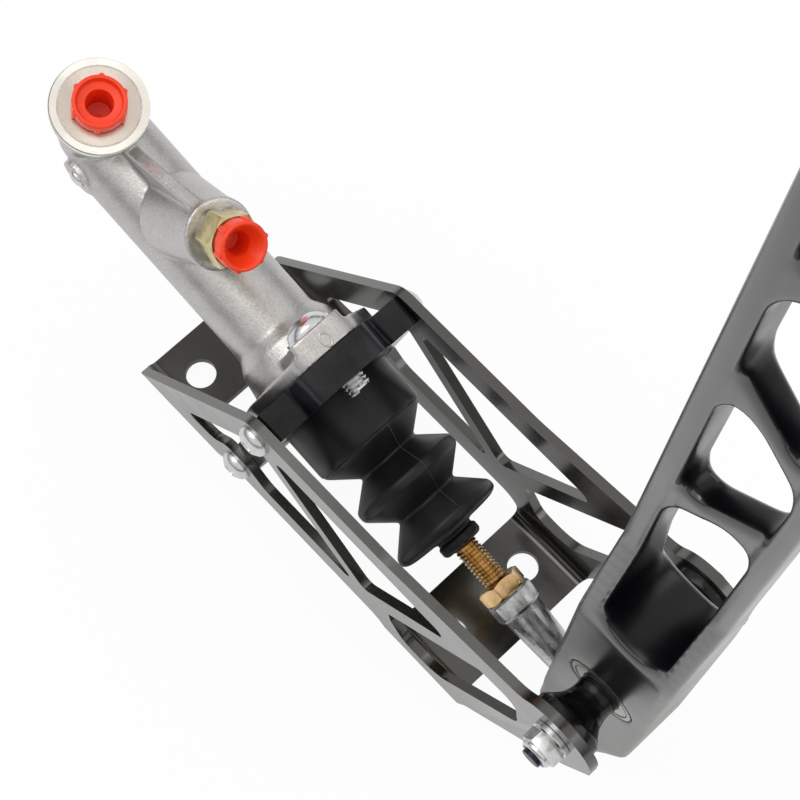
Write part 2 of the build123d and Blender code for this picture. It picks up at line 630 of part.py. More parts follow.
PIECES = {
    "bracket": make_bracket,
    "mount_plate": make_mount_plate,
    "mount_plate_screws": make_mount_screws,
    "cylinder_body": make_cylinder_body,
    "cylinder_bolts": make_cylinder_bolts,
    "side_plug": make_side_plug,
    "outlet_cap": make_outlet_cap,
    "inlet_washer": make_inlet_washer,
    "inlet_adapter": make_inlet_adapter,
    "inlet_cap": make_inlet_cap,
    "piston": make_piston,
    "primary_cup": make_primary_cup,
    "secondary_seal": make_secondary_seal,
    "return_spring": make_return_spring,
    "stop_washer": make_stop_washer,
    "circlip": make_circlip,
    "boot": make_boot,
    "pushrod": make_pushrod,
    "jam_nut": make_jam_nut,
    "rod_end_body": make_rod_end_body,
    "rod_end_race": make_rod_end_race,
    "rod_end_ball": make_rod_end_ball,
    "rod_end_spacers": make_rod_end_spacers,
    "rod_end_bolt": make_rod_end_bolt,
    "rod_end_nut": make_rod_end_nut,
    "lever": make_lever,
    "hand_grip": make_hand_grip,
    "grip_cap": make_grip_cap,
    "grip_screw": make_grip_screw,
    "pivot_bearings": make_pivot_bearings,
    "pivot_sleeve": make_pivot_sleeve,
    "pivot_spacers": make_pivot_spacers,
    "pivot_washers": make_pivot_washers,
    "pivot_bolt": make_pivot_bolt,
    "pivot_nut": make_pivot_nut,
    "pivot_nut_insert": make_pivot_nut_insert,
}

os.makedirs("parts", exist_ok=True)
for name, make in PIECES.items():
    export_step(make(), f"parts/{name}.step")
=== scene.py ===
from math import atan2, cos, pi, radians, sin

import bmesh
import bpy
from bpy.props import FloatProperty, FloatVectorProperty, IntProperty, PointerProperty
from mathutils import Matrix, Vector


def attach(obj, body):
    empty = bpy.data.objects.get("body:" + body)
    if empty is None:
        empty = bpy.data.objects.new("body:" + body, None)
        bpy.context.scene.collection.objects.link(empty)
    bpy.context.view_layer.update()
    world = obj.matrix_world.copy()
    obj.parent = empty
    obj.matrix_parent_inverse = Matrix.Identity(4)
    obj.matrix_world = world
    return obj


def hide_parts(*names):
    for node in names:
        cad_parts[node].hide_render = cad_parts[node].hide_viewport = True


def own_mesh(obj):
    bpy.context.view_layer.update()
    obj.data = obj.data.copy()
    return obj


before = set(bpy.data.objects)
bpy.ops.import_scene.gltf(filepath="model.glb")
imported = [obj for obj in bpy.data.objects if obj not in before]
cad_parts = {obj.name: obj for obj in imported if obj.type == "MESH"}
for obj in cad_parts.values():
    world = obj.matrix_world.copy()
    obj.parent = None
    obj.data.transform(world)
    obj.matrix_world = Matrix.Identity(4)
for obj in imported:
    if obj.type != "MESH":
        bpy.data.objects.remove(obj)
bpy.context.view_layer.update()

bl_info = {
    "name": "Hydraulic handbrake",
    "version": (1, 0, 0),
    "blender": (4, 5, 0),
    "location": "3D View > Sidebar > Handbrake",
    "description": "Dresses the packed handbrake: cast cylinder, folded boot, anodised lever and studio",
    "category": "Object",
}

MM = 0.001

# Places are in mm. The cylinder's axis falls towards the lever: a name that ends in _A is a place along it,
# and one that ends in _H a height square above it.
SLOPE = 0.24
CYLINDER = Matrix.Translation((-11.75, 0, 52.9)) @ Matrix.Rotation(SLOPE, 4, "Y")
ALONG = CYLINDER.to_3x3() @ Vector((1, 0, 0))
X_TO_Z = Matrix.Rotation(radians(-90), 4, "Y")
Z_TO_X = Matrix.Rotation(radians(90), 4, "Y")

# Outlet, inlet (its lean in degrees) and the casting's small features
OUTLET_A = -104.0
PORT_TOP_H = 25.0
OUTLET = CYLINDER @ Matrix.Translation((OUTLET_A, 0, PORT_TOP_H)) @ X_TO_Z
FACE_LINE_R = 11.9
INLET_LEAN = 33.2
INLET = CYLINDER @ Matrix.Translation((-52.9, 0, 31.4)) @ Matrix.Rotation(radians(INLET_LEAN - 90), 4, "Y")
INLET_CAP_LOW = 11.1
CASTING_MARK = CYLINDER @ Matrix.Translation((-10.4, 0.35, 41.5)) @ X_TO_Z
SIDE_PORT_A = -96.7
SIDE_BOSS_Y = -14.3

# Caps: how far they stand out, their rims, and the size and turn in degrees of their nubs
CAP_T = 5.0
OUTLET_CAP_R = 8.0
INLET_CAP_R = 7.3
NUB_R = 0.9
NUB_TURN = 14.5

# Mount plate and the cylinder's screws
PLATE_FRONT_A = 2.5
FLANGE_BACK_A = -15.2
BOLT_H = 33.5
M8_R = 4.0
STUB_A = PLATE_FRONT_A - 0.5
STUB_L = 4.3

# Boot
BOOT_SEAT_R = 15.1
COLLAR_R = 19.0
BOOT_SPLIT_A = 18.4
BOOT_END_A = 55.0
LIP_END_A = 60.5

# Push rod: round end in the piston, pin in the lever's fork
BALL_A = -1.2
BALL_R = 5.4
STEM_R = 3.2
STEM_L = 46.0
ROD_END_L = 19.0
PIN = Vector((103.9433, 0, 20.3367))
PIN_LOCAL = CYLINDER.inverted() @ PIN
ROD_TILT = atan2(-PIN_LOCAL.z, PIN_LOCAL.x - BALL_A)
PIN_REACH = BALL_A + Vector((PIN_LOCAL.x - BALL_A, 0, PIN_LOCAL.z)).length
PUSH = (CYLINDER @ Matrix.Translation((BALL_A, 0, 0)) @ Matrix.Rotation(ROD_TILT, 4, "Y")
        @ Matrix.Translation((-BALL_A, 0, 0)))

# Lever: local X runs up it from the pivot, Z across its rails and Y through its faces
PIVOT = Vector((109.65, 0, 89.0))
LEVER_LEAN = radians(1.2)
LEVER = Matrix.Translation(PIVOT) @ Matrix.Rotation(LEVER_LEAN, 4, "Y") @ X_TO_Z
FORK_S = -50.0
POCKET_LOW_S = 50.0
POCKET_HIGH_S = 310.0
POCKET_HALF = 10.9
RAIL_HALF = 15.2
HUB_FACE_Y = 12.53
GRIP_LOW_S = 319.0

# Steps round each corner that softened() turns into a curve
CORNER_STEPS = 4


def rgb(hex_colour):
    """Linear red, green and blue of an sRGB hex colour."""
    parts = [int(hex_colour[i:i + 2], 16) / 255 for i in (1, 3, 5)]
    return tuple(c / 12.92 if c <= 0.04045 else ((c + 0.055) / 1.055) ** 2.4 for c in parts)


def colour(name, description, hex_colour):
    """Colour property with its default given as sRGB hex."""
    return FloatVectorProperty(
        name=name, description=description, subtype="COLOR", size=3, min=0, max=1, default=rgb(hex_colour))


def metres(name, description, default, **limits):
    """Length property, its default in metres."""
    return FloatProperty(
        name=name, description=description, default=default, unit="LENGTH", precision=5, **limits)


class HandbrakeColours(bpy.types.PropertyGroup):
    """Colours of the handbrake's finishes."""
    casting: colour("Casting", "Shot-blasted cast aluminium", "#C0BEBC")
    turned: colour("Turned", "Faced ring of the outlet", "#F4F1EA")
    coat: colour("Coat", "Black coat of the sheet bracket", "#0F0F0F")
    # The cut edge colour is partly the thinner coat and partly painted reflection on faces that don't face
    # along Y
    cut: colour("Cut edge", "Warmer coat on the laser-cut edges and floor plates", "#1D1A12")
    anodised: colour("Anodised", "Black anodised lever", "#121213")
    plate: colour("Plate", "Black anodised mount plate and spacers", "#090A0E")
    rubber: colour("Rubber", "Boot and grip rubber", "#0E0E0F")
    cap: colour("Cap", "Red-orange shipping caps", "#F03A0C")
    gold: colour("Gold zinc", "Yellow-passivated zinc", "#EBC79B")
    olive: colour("Olive zinc", "Greener patches of yellow-passivated zinc", "#BFA066")
    pale: colour("Pale zinc", "Thinly passivated adapter", "#DCD2AC")
    zinc: colour("Zinc", "Bright zinc plate", "#D3D5D6")
    steel: colour("Steel", "Ground bearing steel", "#C9C5BE")
    insert: colour("Insert", "Locking ring of the nut", "#2C63B8")
    floor: colour("Floor", "Floor and background", "#FFFFFF")


class HandbrakeSizes(bpy.types.PropertyGroup):
    """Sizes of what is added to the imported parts."""
    cast_voxel: metres(
        "Casting voxel", "Grid that rounds the casting's corners", 0.00055, min=0.0003, max=0.002)
    cast_rounds: IntProperty(
        name="Casting smoothing", description="Smoothing steps over the casting", default=3, min=0, max=40)
    cast_share: FloatProperty(
        name="Casting faces kept", description="Share of the casting's fine faces that is kept", default=0.7,
        min=0.1, max=1.0, subtype="FACTOR")
    sheet_edge: metres("Sheet edge", "Break of the cut sheet edges", 0.0002)
    lever_voxel: metres(
        "Lever voxel", "Grid that rounds the lever's edges", 0.00073, min=0.0004, max=0.002)
    lever_rounds: IntProperty(
        name="Lever smoothing", description="Smoothing steps in the lever's windows", default=40,
        min=0, max=80)
    rod_pitch: metres("Rod pitch", "Thread pitch of the push rod and the cylinder's screws", 0.00125)
    boot_round: metres("Fold rounding", "Rounding of the boot's folds", 0.0011)
    cap_nubs: IntProperty(
        name="Cap nubs", description="Pull-off nubs around each cap", default=6, min=3, max=12)
    grip_ribs: IntProperty(
        name="Grip ribs", description="Ribs around the hand grip", default=17, min=2, max=60)
    grip_rib: metres("Rib radius", "Radius of one grip rib", 0.0009)


def colours():
    """The scene's finish colours."""
    return bpy.context.scene.handbrake_colours


def sizes():
    """The scene's sizes of what is added."""
    return bpy.context.scene.handbrake_sizes


# Materials

def add(tree, kind, inputs=None, **settings):
    """Add one node with its settings, its values and its links; a Mix node takes colours at 6 and 7."""
    node = tree.nodes.new(kind)
    for key, value in settings.items():
        setattr(node, key, value)
    for key, value in (inputs or {}).items():
        if isinstance(value, bpy.types.NodeSocket):
            tree.links.new(value, node.inputs[key])
        else:
            node.inputs[key].default_value = value
    return node


def surface(name, light, dark, patch_mm, rough, grain_mm, grain_height, metal=0.0, speckle=0.05, rim_highlight_and_wear=None,
            corner_shade=1.0, stretch=(1, 1, 1), **shader):
    """Material with two tones in patches, a grain, rims lighter with wear and painted highlight, and painted
    shade in inner corners; sizes in mm.
    """
    material = bpy.data.materials.get(name)
    if material:
        return material
    material = bpy.data.materials.new(name)
    material.use_nodes = True
    tree = material.node_tree
    bsdf = tree.nodes["Principled BSDF"]
    place = add(tree, "ShaderNodeTexCoord").outputs["Object"]
    place = add(tree, "ShaderNodeMapping", {"Vector": place, "Scale": stretch}).outputs["Vector"]
    patches = add(tree, "ShaderNodeTexNoise", {"Vector": place, "Scale": 1 / (patch_mm * MM), "Detail": 4.0})
    # A noise stays mostly between these two values
    spread = {"From Min": 0.3, "From Max": 0.7}
    even = add(tree, "ShaderNodeMapRange", {"Value": patches.outputs["Fac"], **spread})
    tone = add(tree, "ShaderNodeMix", {
        "Factor": even.outputs["Result"], 6: (*dark, 1), 7: (*light, 1)}, data_type="RGBA")
    shine = add(tree, "ShaderNodeMapRange", {
        "Value": patches.outputs["Fac"], **spread, "To Min": rough[0], "To Max": rough[1]})
    grain = add(tree, "ShaderNodeTexNoise", {"Vector": place, "Scale": 1 / (grain_mm * MM), "Detail": 3.0})
    bump = add(tree, "ShaderNodeBump", {
        "Height": grain.outputs["Fac"], "Distance": grain_height * MM, "Strength": 1.0})
    dots = add(tree, "ShaderNodeMapRange", {
        "Value": grain.outputs["Fac"], **spread, "To Min": 1 - speckle, "To Max": 1 + speckle})
    paint = add(tree, "ShaderNodeVectorMath", {
        0: tone.outputs[2], "Scale": dots.outputs["Result"]}, operation="SCALE").outputs["Vector"]
    point = add(tree, "ShaderNodeNewGeometry").outputs["Pointiness"]
    if corner_shade < 1.0:
        # Painted shade: inner corners and sockets are darkened by their pointiness
        corner = add(tree, "ShaderNodeMapRange", {
            "Value": point, "From Min": 0.42, "From Max": 0.497, "To Min": corner_shade, "To Max": 1.0})
        paint = add(tree, "ShaderNodeVectorMath", {
            0: paint, "Scale": corner.outputs["Result"]}, operation="SCALE").outputs["Vector"]
    if rim_highlight_and_wear:
        # Wear and painted highlight: rims lighter, more in some patches than in others
        rim = add(tree, "ShaderNodeMapRange", {"Value": point, "From Min": 0.52, "From Max": 0.6})
        rim_blend = add(tree, "ShaderNodeMath", {
            0: rim.outputs["Result"], 1: even.outputs["Result"]}, operation="MULTIPLY")
        paint = add(tree, "ShaderNodeMix", {
            "Factor": rim_blend.outputs[0], 6: paint, 7: (*rim_highlight_and_wear, 1)}, data_type="RGBA").outputs[2]
    tree.links.new(paint, bsdf.inputs["Base Color"])
    tree.links.new(shine.outputs["Result"], bsdf.inputs["Roughness"])
    tree.links.new(bump.outputs["Normal"], bsdf.inputs["Normal"])
    bsdf.inputs["Metallic"].default_value = metal
    for key, value in shader.items():
        bsdf.inputs[key.replace("_", " ")].default_value = value
    return material


def shade(tone, factor):
    """Tone made lighter or darker, each channel at most 1."""
    return tuple(min(1.0, c * factor) for c in tone)


def cast_aluminium():
    # Die-cast and shot-blasted: warm, soft highlights over a fine grain
    tone = colours().casting
    return surface(
        "cast_aluminium_blasted", tone, shade(tone, 0.86),
        patch_mm=5.0, rough=(0.32, 0.42), grain_mm=0.6, grain_height=0.09, metal=1.0, speckle=0.13,
        rim_highlight_and_wear=shade(tone, 1.15), corner_shade=0.65)


def turned_aluminium():
    # Faced on a lathe: bright, with rings about the outlet's axis
    tone = colours().turned
    material = surface(
        "turned_aluminium", tone, shade(tone, 0.9),
        patch_mm=9.0, rough=(0.22, 0.32), grain_mm=0.5, grain_height=0.01, metal=1.0)
    tree = material.node_tree
    if "rings" in tree.nodes:
        return material
    bsdf = tree.nodes["Principled BSDF"]
    centre = OUTLET.translation * MM
    place = add(tree, "ShaderNodeTexCoord").outputs["Object"]
    near = add(tree, "ShaderNodeVectorMath", {0: place, 1: centre}, operation="DISTANCE").outputs["Value"]
    spacing = 0.45 * MM
    rings = add(tree, "ShaderNodeMath", {0: near, 1: 2 * pi / spacing}, operation="MULTIPLY", name="rings")
    wave = add(tree, "ShaderNodeMath", {0: rings.outputs[0]}, operation="SINE").outputs[0]
    bump = add(tree, "ShaderNodeBump", {"Height": wave, "Distance": 0.006 * MM, "Strength": 0.5})
    tree.links.new(bump.outputs["Normal"], bsdf.inputs["Normal"])
    # Inside the thin parting line the face is a little duller and pinker
    inner = add(tree, "ShaderNodeMapRange", {
        "Value": near, "From Min": FACE_LINE_R * MM, "From Max": (FACE_LINE_R + 0.1) * MM}).outputs["Result"]
    # Painted shade: along the thin parting line the colour drops to a quarter
    away = add(tree, "ShaderNodeMath", {0: near, 1: -FACE_LINE_R * MM}, operation="ADD").outputs[0]
    away = add(tree, "ShaderNodeMath", {0: away}, operation="ABSOLUTE").outputs[0]
    line = add(tree, "ShaderNodeMapRange", {
        "Value": away, "From Min": 0.1 * MM, "From Max": 0.22 * MM, "To Min": 0.25}).outputs["Result"]
    base = bsdf.inputs["Base Color"].links[0].from_socket
    dull = add(tree, "ShaderNodeMix", {
        "Factor": inner, 6: (*rgb("#E2D8D4"), 1), 7: (1, 1, 1, 1)}, data_type="RGBA").outputs[2]
    both = add(tree, "ShaderNodeVectorMath", {0: base, 1: dull}, operation="MULTIPLY").outputs["Vector"]
    lined = add(tree, "ShaderNodeVectorMath", {0: both, "Scale": line}, operation="SCALE").outputs["Vector"]
    tree.links.new(lined, bsdf.inputs["Base Color"])
    # The cutting marks run about the port, so highlights spread into two opposite fans
    out = add(tree, "ShaderNodeVectorMath", {0: place, 1: centre}, operation="SUBTRACT").outputs["Vector"]
    axis = OUTLET.to_3x3() @ Vector((1, 0, 0))
    ring = add(tree, "ShaderNodeVectorMath", {0: axis, 1: out}, operation="CROSS_PRODUCT").outputs["Vector"]
    ring = add(tree, "ShaderNodeVectorMath", {0: ring}, operation="NORMALIZE").outputs["Vector"]
    tree.links.new(ring, bsdf.inputs["Tangent"])
    bsdf.inputs["Anisotropic"].default_value = 0.8
    return material


def coated_steel():
    # Black electrocoat on sheet steel: satin, with a faint orange peel
    tone = colours().coat
    # Its light grey rims are painted highlight along the broken edges
    material = surface(
        "electrocoated_steel", tone, shade(tone, 0.75),
        patch_mm=14.0, rough=(0.15, 0.22), grain_mm=1.6, grain_height=0.008, speckle=0.1, rim_highlight_and_wear=rgb("#77736A"),
        IOR=1.85)
    tree = material.node_tree
    if "cut" in tree.nodes:
        return material
    # The walls face along Y. Cut edges and floor plates don't, and they take a warm tint: partly the thinner
    # coat on the cut edges, partly painted reflection of warm light
    bsdf = tree.nodes["Principled BSDF"]
    facing = add(tree, "ShaderNodeTexCoord").outputs["Normal"]
    side = add(tree, "ShaderNodeSeparateXYZ", {0: facing}).outputs["Y"]
    side = add(tree, "ShaderNodeMath", {0: side}, operation="ABSOLUTE").outputs[0]
    cut = add(tree, "ShaderNodeMapRange", {
        "Value": side, "From Min": 0.75, "From Max": 0.4}, name="cut").outputs["Result"]
    base = bsdf.inputs["Base Color"].links[0].from_socket
    mix = add(tree, "ShaderNodeMix", {"Factor": cut, 6: base, 7: (*colours().cut, 1)}, data_type="RGBA")
    tree.links.new(mix.outputs[2], bsdf.inputs["Base Color"])
    return material


def anodised_aluminium():
    # Milled, polished and black anodised: black face on, a soft mirror at a low angle
    tone = colours().anodised
    return surface(
        "anodised_aluminium_black", tone, shade(tone, 0.8),
        patch_mm=22.0, rough=(0.2, 0.27), grain_mm=0.8, grain_height=0.004, rim_highlight_and_wear=rgb("#3A3937"), IOR=1.85)


def anodised_plate():
    # Milled plate and turned spacers, hard anodised: darker and bluer than the lever
    tone = colours().plate
    return surface(
        "anodised_aluminium_hard", tone, shade(tone, 0.8),
        patch_mm=10.0, rough=(0.14, 0.22), grain_mm=0.7, grain_height=0.006, rim_highlight_and_wear=rgb("#45464A"), IOR=1.33)


def pocket_shade_anodised():
    # Walls that the cutter left: finer steps and not polished; made near black and less reflective as painted
    # shade in the pockets
    tone = colours().plate
    return surface(
        "anodised_aluminium_milled_painted_shade", tone, shade(tone, 0.8),
        patch_mm=8.0, rough=(0.26, 0.36), grain_mm=0.9, grain_height=0.02, IOR=1.38, stretch=(1, 1, 0.25))


def moulded_rubber():
    # Moulded EPDM: matt black with a powdery bloom
    tone = colours().rubber
    return surface(
        "moulded_rubber", tone, shade(tone, 0.7),
        patch_mm=6.0, rough=(0.36, 0.48), grain_mm=0.5, grain_height=0.02, speckle=0.15, rim_highlight_and_wear=rgb("#57554F"),
        Sheen_Weight=0.03, Sheen_Roughness=0.5, Specular_IOR_Level=0.32)


def cap_polyethylene():
    # Injection-moulded polyethylene: saturated and softly shiny, paler on its rims
    tone = colours().cap
    return surface(
        "polyethylene_moulded", tone, shade(tone, 0.88),
        patch_mm=7.0, rough=(0.32, 0.42), grain_mm=1.1, grain_height=0.02, rim_highlight_and_wear=shade(tone, 1.12))


def gold_zinc():
    # Yellow chromate over zinc: gold with greener patches
    return surface(
        "zinc_yellow_passivated", colours().gold, colours().olive,
        patch_mm=3.2, rough=(0.2, 0.3), grain_mm=0.35, grain_height=0.012, metal=1.0, corner_shade=0.5)


def pale_zinc():
    # Thin yellow chromate: silver with a straw tint and darker straw patches
    tone = colours().pale
    return surface(
        "zinc_straw_passivated", tone, rgb("#B4A46C"),
        patch_mm=3.6, rough=(0.24, 0.36), grain_mm=0.4, grain_height=0.01, metal=1.0, corner_shade=0.5)


def bright_zinc():
    # Clear-passivated zinc: bright and slightly cloudy
    tone = colours().zinc
    return surface(
        "zinc_bright", tone, shade(tone, 0.78),
        patch_mm=2.6, rough=(0.18, 0.3), grain_mm=0.4, grain_height=0.008, metal=1.0, corner_shade=0.3)


def forged_zinc():
    # Forged and zinc plated rod end: mottled and duller than the screws
    tone = colours().zinc
    return surface(
        "zinc_over_forging", tone, shade(tone, 0.6),
        patch_mm=3.0, rough=(0.22, 0.4), grain_mm=0.9, grain_height=0.05, metal=1.0, speckle=0.22,
        stretch=(0.5, 1, 1))


def ground_steel():
    # Ground and lapped bearing steel
    tone = colours().steel
    return surface(
        "ground_steel", tone, shade(tone, 0.88),
        patch_mm=4.0, rough=(0.2, 0.28), grain_mm=0.3, grain_height=0.004, metal=1.0)


def bearing_steel():
    # Pressed shield and ground rings: satin, a little darker than the screws
    tone = shade(colours().steel, 0.62)
    return surface(
        "satin_bearing_steel", tone, shade(tone, 0.85),
        patch_mm=4.0, rough=(0.26, 0.34), grain_mm=0.3, grain_height=0.004, metal=1.0)


def oxide_steel():
    # Black-oxide bolt, oiled: near black with a soft shine
    return surface(
        "black_oxide_steel", rgb("#26262A"), rgb("#161618"),
        patch_mm=2.0, rough=(0.3, 0.42), grain_mm=0.4, grain_height=0.008, metal=0.7)


def sintered_bronze():
    # Pressed bronze race, oiled
    return surface(
        "sintered_bronze", rgb("#C9A878"), rgb("#A98655"),
        patch_mm=1.5, rough=(0.35, 0.5), grain_mm=0.4, grain_height=0.01, metal=1.0)


def insert_nylon():
    # Dyed nylon ring
    tone = colours().insert
    return surface(
        "nylon_dyed", tone, shade(tone, 0.8),
        patch_mm=2.0, rough=(0.35, 0.45), grain_mm=0.5, grain_height=0.01)


def painted_zinc():
    # Clear-passivated zinc with a soft-edged pink-red dab of paint pen on the upper screw
    tone = colours().zinc
    material = surface(
        "zinc_bright_paint_marked", tone, shade(tone, 0.85),
        patch_mm=2.6, rough=(0.16, 0.26), grain_mm=0.4, grain_height=0.006, metal=1.0, corner_shade=0.3)
    tree = material.node_tree
    if "dab" in tree.nodes:
        return material
    bsdf = tree.nodes["Principled BSDF"]
    centre = (CYLINDER @ Vector((FLANGE_BACK_A - 2.9, 0.4, BOLT_H + 4.4))) * MM
    place = add(tree, "ShaderNodeTexCoord").outputs["Object"]
    near = add(tree, "ShaderNodeVectorMath", {0: place, 1: centre}, operation="DISTANCE").outputs["Value"]
    dab = add(tree, "ShaderNodeMapRange", {
        "Value": near, "From Min": 1.6 * MM, "From Max": 1.1 * MM, "To Max": 0.8}, name="dab")
    dab = dab.outputs["Result"]
    base = bsdf.inputs["Base Color"].links[0].from_socket
    mix = add(tree, "ShaderNodeMix", {"Factor": dab, 6: base, 7: (*rgb("#C8414B"), 1)}, data_type="RGBA")
    bare = add(tree, "ShaderNodeMath", {0: 1.0, 1: dab}, operation="SUBTRACT")
    tree.links.new(mix.outputs[2], bsdf.inputs["Base Color"])
    tree.links.new(bare.outputs[0], bsdf.inputs["Metallic"])
    return material


def seamless_paper():
    # White paper: full white to the camera and in reflections, with the object's soft shadow kept
    white, shaded = 0.94, 0.2
    paper = bpy.data.materials.new("seamless_paper")
    paper.use_nodes = True
    tree = paper.node_tree
    bsdf = tree.nodes["Principled BSDF"]
    bsdf.inputs["Base Color"].default_value = (0.8, 0.8, 0.8, 1)
    bsdf.inputs["Roughness"].default_value = 0.9
    path = add(tree, "ShaderNodeLightPath").outputs
    seen = path["Is Camera Ray"]
    for ray in ("Is Glossy Ray", "Is Transmission Ray"):
        seen = add(tree, "ShaderNodeMath", {0: seen, 1: path[ray]}, operation="MAXIMUM").outputs[0]
    # Paper under the bracket lies in its shade, so it shows darker in reflections
    spot = add(tree, "ShaderNodeSeparateXYZ", {0: add(tree, "ShaderNodeTexCoord").outputs["Object"]})
    across = add(tree, "ShaderNodeMath", {0: spot.outputs["Y"]}, operation="ABSOLUTE")
    open_air = add(tree, "ShaderNodeMapRange", {
        "Value": across.outputs[0], "From Min": 20 * MM, "From Max": 50 * MM,
        "To Min": shaded, "To Max": white})
    lit = add(tree, "ShaderNodeMix", {
        "Factor": path["Is Camera Ray"], 2: open_air.outputs["Result"], 3: white}, data_type="FLOAT")
    share = add(tree, "ShaderNodeMath", {0: seen, 1: lit.outputs[0]}, operation="MULTIPLY")
    glow = add(tree, "ShaderNodeEmission", {"Color": (*colours().floor, 1), "Strength": 1.0})
    mixed = add(tree, "ShaderNodeMixShader", {0: share.outputs[0], 1: bsdf.outputs[0], 2: glow.outputs[0]})
    tree.links.new(mixed.outputs[0], tree.nodes["Material Output"].inputs["Surface"])
    return paper


def studio_world():
    # White tent round the object: darker near the floor in reflections, a little warmer overhead
    world = bpy.data.worlds.new("studio")
    world.use_nodes = True
    tree = world.node_tree
    way = add(tree, "ShaderNodeTexCoord").outputs["Generated"]
    height = add(tree, "ShaderNodeSeparateXYZ", {0: way}).outputs["Z"]
    rise = add(tree, "ShaderNodeMapRange", {
        "Value": height, "From Min": 0.1, "From Max": 0.5, "To Min": 0.2, "To Max": 1.0})
    warm = add(tree, "ShaderNodeMapRange", {"Value": height, "From Min": 0.45, "From Max": 0.95})
    sky = add(tree, "ShaderNodeMix", {
        "Factor": warm.outputs["Result"], 6: (1, 1, 1, 1), 7: (1.0, 0.965, 0.92, 1)}, data_type="RGBA")
    path = add(tree, "ShaderNodeLightPath")
    strength = add(tree, "ShaderNodeMath", {
        0: rise.outputs["Result"], 1: path.outputs["Is Camera Ray"]}, operation="MAXIMUM")
    tree.links.new(strength.outputs[0], tree.nodes["Background"].inputs["Strength"])
    tree.links.new(sky.outputs[2], tree.nodes["Background"].inputs["Color"])
    return world


# Meshes

def finished(name, mesh, body, material, replaces=(), sharp=38):
    """Put a mesh in the scene as a smooth-shaded piece that rides on a body."""
    mesh.materials.clear()
    mesh.materials.append(material)
    mesh.shade_smooth()
    mesh.set_sharp_from_angle(angle=radians(sharp))
    piece = bpy.data.objects.new(name, mesh)
    bpy.context.scene.collection.objects.link(piece)
    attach(piece, body)
    if replaces:
        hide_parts(*replaces)
    return piece


def merged_copy(node, flat_faces=True):
    """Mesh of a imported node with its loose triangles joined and, if wanted, its flat faces whole."""
    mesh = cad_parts[node].data.copy()
    shape = bmesh.new()
    shape.from_mesh(mesh)
    bmesh.ops.remove_doubles(shape, verts=shape.verts, dist=0.5e-6)
    if flat_faces:
        bmesh.ops.dissolve_limit(shape, angle_limit=radians(0.4), verts=shape.verts, edges=shape.edges)
    shape.to_mesh(mesh)
    shape.free()
    return mesh


def with_modifiers(mesh, modifiers, weights=None):
    """Mesh after modifiers given as (type, settings); weights fill the vertex group "soft"."""
    holder = bpy.data.objects.new("working", mesh)
    bpy.context.scene.collection.objects.link(holder)
    if weights:
        soft = holder.vertex_groups.new(name="soft")
        for index, share in weights.items():
            soft.add([index], share, "REPLACE")
    for kind, settings in modifiers:
        modifier = holder.modifiers.new(kind.lower(), kind)
        for key, value in settings.items():
            setattr(modifier, key, value)
    evaluated = holder.evaluated_get(bpy.context.evaluated_depsgraph_get())
    result = bpy.data.meshes.new_from_object(evaluated)
    bpy.data.objects.remove(holder)
    return result


def bevelled(mesh, edge, segments=2):
    """Mesh with its sharp edges broken; edge is the break's width in mm."""
    return with_modifiers(mesh, [("BEVEL", {
        "width": edge * MM, "segments": segments, "limit_method": "ANGLE", "angle_limit": radians(32),
        "use_clamp_overlap": True, "miter_outer": "MITER_ARC"})])


def edged(node, body, material, edge=0.2, segments=2):
    """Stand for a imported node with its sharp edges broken; edge is the break's width in mm."""
    mesh = bevelled(merged_copy(node), edge, segments)
    return finished(node + "_edged", mesh, body, material, [node], sharp=20)


def trimmed(mesh, where, way):
    """Mesh without what lies past a plane, closed there; where is in mm."""
    shape = bmesh.new()
    shape.from_mesh(mesh)
    cut = bmesh.ops.bisect_plane(
        shape, geom=shape.verts[:] + shape.edges[:] + shape.faces[:], plane_co=where * MM, plane_no=way,
        clear_outer=True)["geom_cut"]
    bmesh.ops.holes_fill(shape, edges=[item for item in cut if isinstance(item, bmesh.types.BMEdge)])
    bmesh.ops.recalc_face_normals(shape, faces=shape.faces)
    shape.to_mesh(mesh)
    shape.free()
    return mesh


def kept(node, material):
    """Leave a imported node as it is, with its own finish."""
    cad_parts[node].material_slots[0].material = material


def softened(points, reach, steps=CORNER_STEPS, crisp_from=1e9, crisp=0.3):
    """Outline with each corner turned into a small curve, a smaller one past crisp_from."""
    curve = []
    count = len(points)
    for index, (a, r) in enumerate(points):
        here = Vector((a, r))
        before = Vector(points[index - 1]) - here
        after = Vector(points[(index + 1) % count]) - here
        cut = min(crisp if a > crisp_from else reach, before.length * 0.45, after.length * 0.45)
        start = here + before.normalized() * cut
        end = here + after.normalized() * cut
        for step in range(steps + 1):
            t = step / steps
            curve.append(start * (1 - t) ** 2 + here * 2 * t * (1 - t) + end * t ** 2)
    return [(p.x, p.y) for p in curve]


def turned(outline, place, segments=96, bend=None):
    """Mesh of a closed outline of (x, radius) in mm turned about X, then moved by place."""
    shape = bmesh.new()
    rings = []
    for turn in range(segments):
        angle = 2 * pi * turn / segments
        ring = []
        for x, radius in outline:
            drop = bend(x) if bend else 0.0
            ring.append(shape.verts.new((x, radius * sin(angle), radius * cos(angle) + drop)))
        rings.append(ring)
    count = len(outline)
    for turn in range(segments):
        here, following = rings[turn], rings[(turn + 1) % segments]
        for index in range(count):
            after = (index + 1) % count
            shape.faces.new((here[index], here[after], following[after], following[index]))
    bmesh.ops.remove_doubles(shape, verts=shape.verts, dist=1e-5)
    bmesh.ops.recalc_face_normals(shape, faces=shape.faces)
    mesh = bpy.data.meshes.new("turned")
    shape.to_mesh(mesh)
    shape.free()
    mesh.transform(Matrix.Scale(MM, 4) @ place)
    return mesh


def joined(meshes):
    """One mesh from several."""
    shape = bmesh.new()
    for mesh in meshes:
        shape.from_mesh(mesh)
    result = bpy.data.meshes.new("joined")
    shape.to_mesh(result)
    shape.free()
    return result


